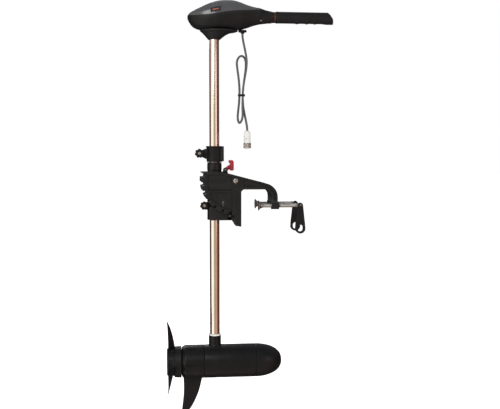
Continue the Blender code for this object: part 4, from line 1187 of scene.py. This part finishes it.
def make_bracket():
    """The swivel bracket: sleeve, pivot hub, web, foot block, lever lugs and tension ears."""
    axis = (SHAFT_X, 0, 0)
    bore = 17.0
    shape = bmesh.new()
    profile = [(BLOCK_LOW, bore), (BLOCK_LOW, 20.0), (SLEEVE_HIGH - 22, 19.3), (SLEEVE_HIGH - 20, 20.0)]
    profile += [(SLEEVE_HIGH - 5, 20.0), (SLEEVE_HIGH - 4.4, 19.2), (SLEEVE_HIGH - 3.6, 19.2)]
    profile += [(SLEEVE_HIGH - 3, 20.0), (SLEEVE_HIGH, 20.0), (SLEEVE_HIGH, bore)]
    turned(shape, "Z", axis, profile, 120, 0.5, True)
    pivot = (PIVOT_X, 0, PIVOT_Z)
    tube(shape, "Y", pivot, -35.1, 35.1, 5.4, 11.0, 64, 0.8)
    web = [(-55, 92), (-47, 92), (-34, 88), (-27, 84), (-12, 79), (-6, 73), (-14, 57), (-27, 40), (-40, -20), (-55, -30)]
    hole = arc((PIVOT_X, PIVOT_Z), 5.6, 0, 345, 23)
    prism(shape, web, -9.5, 9.5, "XZ", [hole], 2.5, 1.0)
    for near, far in ((-26, -20), (20, 26)):
        prism(shape, [(-80, -6), (-50, -6), (-28, 48), (-28, 62), (-60, 56)], near, far, "XZ", (), 3.0, 1.0)
    for near, far in ((-33, -16.9), (16.9, 33)):
        block(shape, (-85, near, BLOCK_LOW), (-24.2, far, -5), 3.5, 1.2, "XZ")
    block(shape, (-53.4, -18, BLOCK_LOW), (-36.0, 18, -5), 1.0, 0.6, "XZ")
    block(shape, (-37, -33, BLOCK_LOW), (-24.2, 33, LOCK_Z - 4), 2.0, 1.0, "XZ")
    lug = [(-48, 84)] + arc((LEVER_X, LEVER_Z), 5.5, 150, 0, 12) + [(-33, 84)]
    for near, far in ((-9.5, -5.4), (5.4, 9.5)):
        prism(shape, lug, near, far, "XZ", (), 1.2, 0.6)
    ear = [(-84, 9)] + arc((TENSION_KNOB.x, TENSION_KNOB.z), 8, 70, 280, 14) + [(-84, -18)]
    hole = arc((TENSION_KNOB.x, TENSION_KNOB.z), 3.1, 0, 345, 23)
    for near, far in ((-11, -1.8), (1.8, 11)):
        prism(shape, ear, near, far, "XZ", [hole], 2.0, 0.8)
    piece("bracket_swivel", shape, "black_casting", "swivel", ["swivel_bracket"], 40)
    for node, low_edge in (("swivel_bush_upper", False), ("swivel_bush_lower", True)):
        low, high = span(node)
        shape = bmesh.new()
        tube(shape, "Z", axis, low.z, high.z, SHAFT_R + 0.3, bore - 0.3, 96, 0.5)
        piece(f"{node}_sleeve", shape, "satin_white" if low_edge else "carbon", "swivel", [node])


def make_lock():
    """The red lever, its pin, and the bar that engages the notches."""
    shape = bmesh.new()
    arm = arc((LEVER_X, LEVER_Z), 5, 120, 300, 14) + [(-25, 100.5), (-20.5, 110), (-26.5, 112.5)]
    prism(shape, arm, -4.8, 4.8, "XZ", [arc((LEVER_X, LEVER_Z), 2.5, 0, 340, 17)], 1.5, 0.9)
    prism(shape, [(-36, 99), (-26, 103), (-22, 110), (-27, 111), (-34, 104)], -5.4, 5.4, "XZ", (), 1.5, 0.5)
    head = [(-27.5, 95), (-20, 94), (-17.4, 97), (-17, 119), (-20, 123.6), (-30, 123.4), (-31, 119), (-25.5, 112), (-26.5, 104)]
    prism(shape, head, -11, 11, "XZ", (), 2.2, 1.4)
    for index in range(4):
        at = 97.5 + index * 3.4
        block(shape, (-18.5, -9.4, at), (-16.5, 9.4, at + 1.5), 0.4, 0.3, "XZ")
    piece("tilt_lever_red", shape, "lever_red", "tilt_lever", ["tilt_lever"], 40)
    shape = bmesh.new()
    rod(shape, "Y", (LEVER_X, 0, LEVER_Z), -11, 11, 2.2, 32, 0.5)
    piece("tilt_lever_pin", shape, "zinc", "swivel", ["lever_pin"])
    low, high = span("lock_bar")
    shape = bmesh.new()
    rod(shape, "Y", (LOCK_X, 0, LOCK_Z), low.y, high.y, 3.0, 48, 0.7)
    rod(shape, "Z", (LOCK_X, 0, 0), LOCK_Z, high.z, 2.5, 40, 0.4)
    piece("lock_bar_round", shape, "steel_dark", "lock_bar", ["lock_bar"])


make_collar()
make_bracket()
make_lock()


# Clamp frame

SECTOR_R = 94.0
NOTCH_DEPTH = 8.5
NOTCH_PITCH = 15.0
NOTCH_WIDTH = 6.2
NOTCH_COUNT = 7
FIRST_NOTCH = 9.5
RECESS = 4.0


def on_sector(angle, radius):
    turn = math.radians(angle)
    return (PIVOT_X - radius * math.sin(turn), PIVOT_Z - radius * math.cos(turn))


def sector_edge():
    points = []
    for index in range(NOTCH_COUNT):
        centre = FIRST_NOTCH + NOTCH_PITCH * index
        start = 2.5 if index == 0 else centre - NOTCH_PITCH / 2
        marks = [(start, SECTOR_R), (centre - NOTCH_WIDTH / 2, SECTOR_R)]
        marks += [(centre - NOTCH_WIDTH / 2 + 0.4, SECTOR_R - NOTCH_DEPTH)]
        marks += [(centre + NOTCH_WIDTH / 2 - 0.4, SECTOR_R - NOTCH_DEPTH)]
        if index < NOTCH_COUNT - 1:
            marks.append((centre + NOTCH_WIDTH / 2, SECTOR_R))
        points += [on_sector(angle, radius) for angle, radius in marks]
    return points


def side_outline():
    outline = [(-18.2, -30), (-17.5, -50), (-5, PLATE_LOW), (0, PLATE_LOW)]
    outline += arc((9, 35), 9, 180, 90, 10)
    outline += arc((64, 24), 20, 90, 0, 14)
    outline += [(84, -3.7), (100, -3.7), (100, 22), (99, 33, 10), (94.5, 43, 8), (87, 51.5, 8), (76, 58.5, 10)]
    outline += [(-22, 84), (-50, 89), (-64, 91.5), (-107, 91.5), (-107, 89)]
    return outline + sector_edge()[::-1]


def recesses():
    upper = [(-90, 84, 5), (-56, 84, 5), (-25, 79, 5), (-24, 41, 4), (-88, 41, 4), (-92, 62, 8)]
    lower = [(-86, 36, 4), (-24, 36, 4), (-24, -18, 6)]
    lower += [on_sector(angle, SECTOR_R - 13) for angle in (10, 17, 24, 31, 38, 45, 52, 60)]
    arm = [(6, 52, 3), (60, 51, 8), (77, 45, 8), (89, 31, 6), (90, 18, 2), (95, 18, 2), (93.5, 34, 8), (86, 46, 8), (73, 53.5, 10), (6, 72, 4)]
    return [upper, lower, arm]


def make_frame():
    """The clamp frame: two ribbed sides with a notched sector, the transom plate and the seat."""
    shape = bmesh.new()
    outline = side_outline()
    pivot_hole = arc((PIVOT_X, PIVOT_Z), 5.3, 0, 345, 23)
    for sign in (-1, 1):
        web = sorted((sign * CHEEK_IN, sign * (CHEEK_OUT - RECESS)))
        prism(shape, outline, *web, "XZ", [pivot_hole], 1.2, 0.5)
        rim = sorted((sign * (CHEEK_OUT - RECESS - 1.5), sign * CHEEK_OUT))
        prism(shape, outline, *rim, "XZ", [pivot_hole, *recesses()], 1.2, 0.8)
        bolt_pad = sorted((sign * (CHEEK_OUT - 1), sign * (CHEEK_OUT + 0.2)))
        tube(shape, "Y", (PIVOT_X, 0, PIVOT_Z), *bolt_pad, 5.3, 9.5, 64, 0.3)
        cheek_ribs(shape, sign)
        turned(
            shape,
            "X",
            (0, sign * SCREW_Y, 0),
            [(82.2, 6.3), (82.2, 9.8), (83.4, 10.5), (102.8, 10.5), (104, 9.6), (104, 6.3)],
            72,
            0.4,
            True,
        )
    block(shape, (-14, -CHEEK_IN - 1, PLATE_LOW), (0, CHEEK_IN + 1, 50), 1.0, 0.8, "XZ")
    block(shape, (-14, -CHEEK_IN - 1, 44), (30, CHEEK_IN + 1, 50), 1.0, 0.8, "XZ")
    for z in (-47, -33, -19, -5, 9, 23):
        block(shape, (-0.8, -CHEEK_IN + 2, z), (0.0, CHEEK_IN - 2, z + 2.4), 0.3, 0.3, "YZ")
    for y in (-24, 0, 24):
        block(shape, (-17.5, y - 1.6, PLATE_LOW + 6), (-13, y + 1.6, 44), 1.0, 0.6, "XZ")
    piece("frame_casting", shape, "black_casting", "frame", ["clamp_frame"], 40)


def cheek_ribs(shape, sign):
    """Shallow strengthening ribs on the floor of the lower panel, in the shape of a fork."""
    face = sign * (CHEEK_OUT - RECESS)
    low, high = sorted((face - sign * 0.8, face + sign * 1.0))
    stem = [(-52.5, 14), (-46.5, 14), (-46.5, -10), (-52.5, -6)]
    left = [(-63, 33), (-56, 33), (-47, 14), (-52, 12)]
    right = [(-43, 33), (-36, 33), (-46, 12), (-50, 14)]
    for outline in (stem, left, right):
        prism(shape, outline, low, high, "XZ", (), 1.0, 0.4)
    for start in (24, 39, 54):
        ring = [on_sector(start + 1.5, 82.8), on_sector(start + 6.5, 82.8), on_sector(start + 6.5, 92), on_sector(start + 1.5, 92)]
        low_rim, high_rim = sorted((sign * (CHEEK_OUT - 1.0), sign * (CHEEK_OUT + 0.5)))
        prism(shape, ring, low_rim, high_rim, "XZ", (), 0.8, 0.35)


def make_tilt_bolt():
    low, high = span("tilt_bolt")
    centre = (PIVOT_X, 0, PIVOT_Z)
    shape = bmesh.new()
    base = low.y + 4
    profile = [(low.y + 0.9, 0), (low.y + 0.9, 2.6), (low.y, 3.0), (low.y, 4.6), (low.y + 1.2, 6.6), (base, 7.2)]
    profile += [(base, 5.0), (high.y, 5.0), (high.y, 0)]
    turned(shape, "Y", centre, profile, 64, 0.4)
    piece("tilt_bolt_detailed", shape, "zinc", "frame", ["tilt_bolt"])
    low, high = span("tilt_nut")
    shape = bmesh.new()
    hexagon(shape, "Y", centre, low.y, high.y, 5.3, 8.5)
    piece("tilt_nut_detailed", shape, "zinc", "frame", ["tilt_nut"])


THREAD_PITCH = 2.5


def make_screws():
    for side, sign in (("near", -1), ("far", 1)):
        centre = (0, sign * SCREW_Y, 0)
        shape = bmesh.new()
        profile = [
            (PAD_X, 0),
            (PAD_X, 13.2),
            (PAD_X + 0.9, 14.2),
            (PAD_X + 2.0, 13.6),
            (PAD_X + 3.4, 10.6),
            (PAD_X + 5.4, 8.6),
            (PAD_X + 8.0, 7.6),
            (PAD_X + 11, 7.2),
            (PAD_X + 11, 4.5),
            (PAD_X + 4.2, 4.5),
            (PAD_X + 4.2, 0),
        ]
        turned(shape, "X", centre, profile, 96, 0.5)
        piece(f"pad_dish_{side}", shape, "zinc", f"pad_{side}", [f"clamp_pad_{side}"])

        def thread(along, angle, radius):
            if radius < 5.5 or not PAD_X + 13 < along < PIN_X - 14:
                return radius
            turn = (along / THREAD_PITCH - angle / (2 * math.pi)) % 1.0
            return radius - 0.75 * abs(2 * turn - 1)

        shape = bmesh.new()
        end = PIN_X - 8
        profile = [(PAD_X + 4.4, 0), (PAD_X + 4.4, 4.0), (PAD_X + 11.4, 4.0), (PAD_X + 11.4, 5.4)]
        profile += [(PAD_X + 12.4, 6.0), (end - 1, 6.0), (end, 5.0), (end, 0)]
        turned(shape, "X", centre, profile, 40, 0.3, False, thread, 0.5)
        root = PIN_X - 12
        eye = [(root, -5.0)] + arc((PIN_X, 0), 6, -90, 90, 16) + [(root, 5.0)]
        hole = arc((PIN_X, 0), 2.3, 0, 340, 17)
        prism(shape, eye, sign * SCREW_Y - 2.2, sign * SCREW_Y + 2.2, "XZ", [hole], 0.5, 0.5)
        piece(f"screw_{side}", shape, "zinc", f"screw_{side}", [f"clamp_screw_{side}"], 40)
        make_handle(side, sign)


def make_handle(side, sign):
    """A flat paddle with a waisted grip and a finger hole."""
    y = sign * SCREW_Y
    low = -78.0
    outline = arc((PIN_X, 0), 7.2, 10, 170, 14)
    outline += [(PIN_X - 10.0, -26, 30), (PIN_X - 12.8, -50, 30)]
    outline += arc((PIN_X, low + 14), 13.9, 170, 370, 22)
    outline += [(PIN_X + 12.8, -50, 30), (PIN_X + 10.0, -26, 30)]
    hole = arc((PIN_X, low + 13), 7.3, 180, 360, 14) + arc((PIN_X, low + 17), 7.3, 0, 180, 14)
    pin_hole = arc((PIN_X, 0), 2.4, 0, 340, 17)
    fork = [(PIN_X - 20, 20), (PIN_X + 20, 20), (PIN_X + 20, -9.5), (PIN_X - 20, -9.5)]
    below = [spot for spot in outline if spot[1] <= -9.5]
    x_at = PIN_X - 8.2
    lower = [(PIN_X + 16.4 / 2, -9.5), *[]]
    shape = bmesh.new()
    cheek_low, cheek_high = y - 5.6, y + 5.6
    for near, far in ((cheek_low, y - 2.7), (y + 2.7, cheek_high)):
        prism(shape, outline, near, far, "XZ", [hole, pin_hole], 1.0, 1.0)
    core = [(x_at, -9.6), *[spot for spot in below], (PIN_X + 8.2, -9.6)]
    prism(shape, ordered_core(below), y - 3.6, y + 3.6, "XZ", [hole], 1.0, 0.3)
    piece(f"handle_paddle_{side}", shape, "black_plastic", f"handle_{side}", [f"clamp_handle_{side}"], 40)
    shape = bmesh.new()
    rod(shape, "Y", (PIN_X, y, 0), -6.1, 6.1, 2.0, 32, 0.7)
    piece(f"handle_rivet_{side}", shape, "zinc", f"screw_{side}", [f"handle_pin_{side}"])


def ordered_core(below):
    """The paddle's outline below its fork, drawn a little inside the outer faces."""
    inner = []
    for spot in below:
        x, z = spot[:2]
        inner.append((PIN_X + (x - PIN_X) * 0.985, z * 0.995))
    left = PIN_X - 7.9
    right = PIN_X + 7.9
    return [(left, -9.6), *inner, (right, -9.6)]


make_frame()
make_tilt_bolt()
make_screws()


# CAD pieces that stay as they are, inside the pod and head

KEPT = {
    "armature": "laminations",
    "commutator": "copper",
    "brush_near": "carbon",
    "brush_far": "carbon",
    "brush_plate": "insulator",
    "magnet_top": "ferrite",
    "magnet_bottom": "ferrite",
    "front_bearing": "steel_dark",
    "rear_bearing": "steel_dark",
    "shaft_seal": "rubber",
    "front_o_ring": "rubber",
    "rear_o_ring": "rubber",
    "drive_pin": "zinc",
    "through_bolt_near": "zinc",
    "through_bolt_far": "zinc",
    "switch_drum": "satin_white",
    "twist_rod": "zinc",
}
for node, kind in KEPT.items():
    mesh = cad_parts[node].data
    mesh.materials.clear()
    mesh.materials.append(MATERIALS[kind])


# Floor and light

ROOM = [
    # bearing from straight in front, left negative, in degrees, and the light from there
    (-180, (0.05, 0.03, 0.04)),
    (-104, (0.05, 0.03, 0.04)),
    (-88, (0.5, 0.42, 0.4)),
    (-72, (1.5, 1.4, 1.22)),
    (-34, (1.35, 1.25, 1.1)),
    (-14, (0.5, 0.44, 0.39)),
    (14, (0.42, 0.34, 0.29)),
    (26, (0.75, 0.52, 0.42)),
    (52, (0.5, 0.27, 0.19)),
    (74, (0.13, 0.06, 0.045)),
    (180, (0.05, 0.025, 0.025)),
]


def make_world():
    """White to look at, with a studio's light: bright left of the front, warm and dim to the right."""
    world = bpy.data.worlds.new("studio")
    world.use_nodes = True
    tree = world.node_tree
    tree.nodes.clear()
    output = tree.nodes.new("ShaderNodeOutputWorld")
    seen = tree.nodes.new("ShaderNodeBackground")
    lighting = tree.nodes.new("ShaderNodeBackground")
    seen.inputs["Color"].default_value = (1.0, 1.0, 1.0, 1.0)
    direction = tree.nodes.new("ShaderNodeTexCoord").outputs["Generated"]
    parts = tree.nodes.new("ShaderNodeSeparateXYZ")
    tree.links.new(direction, parts.inputs["Vector"])
    front = math_node(tree, "MULTIPLY", parts.outputs["Y"], -1.0)
    bearing = math_node(tree, "ARCTAN2", parts.outputs["X"], front)
    around = mapped(tree, bearing, -math.pi, math.pi, 0.0, 1.0)
    ramp = tree.nodes.new("ShaderNodeValToRGB")
    ramp.color_ramp.elements.remove(ramp.color_ramp.elements[1])
    for index, (degrees, colour) in enumerate(ROOM):
        place = (degrees + 180) / 360
        stop = ramp.color_ramp.elements[0] if index == 0 else ramp.color_ramp.elements.new(place)
        stop.position = place
        stop.color = (*colour, 1.0)
    tree.links.new(around, ramp.inputs["Fac"])
    above = mapped(tree, parts.outputs["Z"], 0.15, 0.6, 0.0, 1.0)
    tree.links.new(mixed(tree, above, ramp.outputs["Color"], (0.3, 0.31, 0.33)), lighting.inputs["Color"])
    path = tree.nodes.new("ShaderNodeLightPath")
    mix = tree.nodes.new("ShaderNodeMixShader")
    tree.links.new(path.outputs["Is Camera Ray"], mix.inputs["Fac"])
    tree.links.new(lighting.outputs["Background"], mix.inputs[1])
    tree.links.new(seen.outputs["Background"], mix.inputs[2])
    tree.links.new(mix.outputs["Shader"], output.inputs["Surface"])
    bpy.context.scene.world = world


def math_node(tree, operation, first, second):
    made = tree.nodes.new("ShaderNodeMath")
    made.operation = operation
    for socket, value in zip(made.inputs, (first, second)):
        if isinstance(value, float):
            socket.default_value = value
        else:
            tree.links.new(value, socket)
    return made.outputs["Value"]


def make_studio():
    mesh = bpy.data.meshes.new("floor")
    half, level = 30.0, -0.72
    corners = [(-half, -half, level), (half, -half, level), (half, half, level), (-half, half, level)]
    mesh.from_pydata(corners, [], [(0, 1, 2, 3)])
    made, tree, shader = shader_nodes("floor")
    place = tree.nodes.new("ShaderNodeTexCoord").outputs["Object"]
    mottle = mapped(tree, noise(tree, place, 2.0), 0.3, 0.7, 0.0, 1.0)
    tree.links.new(mixed(tree, mottle, (0.9, 0.9, 0.9), (0.92, 0.92, 0.92)), shader.inputs["Base Color"])
    shader.inputs["Roughness"].default_value = 0.9
    shader.inputs["Emission Color"].default_value = (1.0, 1.0, 1.0, 1.0)
    shader.inputs["Emission Strength"].default_value = 0.8
    mesh.materials.append(made)
    floor = bpy.data.objects.new("floor", mesh)
    bpy.context.scene.collection.objects.link(floor)
    floor.visible_glossy = False
    make_world()
    for name, place, size, energy, glossy in (
        ("key", (-1.1, -2.3, 1.5), (1.5, 1.2), 30.0, True),
        ("fill", (1.8, -2.2, 0.4), (0.7, 1.6), 5.0, True),
        ("top", (0.0, 0.2, 3.0), (3.0, 3.0), 45.0, False),
        ("back", (-0.8, 2.6, 1.4), (1.6, 1.0), 16.0, True),
    ):
        data = bpy.data.lights.new(name, "AREA")
        data.shape = "RECTANGLE"
        data.size, data.size_y = size
        data.energy = energy
        lamp = bpy.data.objects.new(name, data)
        lamp.location = place
        lamp.rotation_euler = (-Vector(place)).to_track_quat("-Z", "Y").to_euler()
        lamp.visible_glossy = glossy
        bpy.context.scene.collection.objects.link(lamp)
    bpy.context.scene.view_settings.view_transform = "Standard"


make_studio()
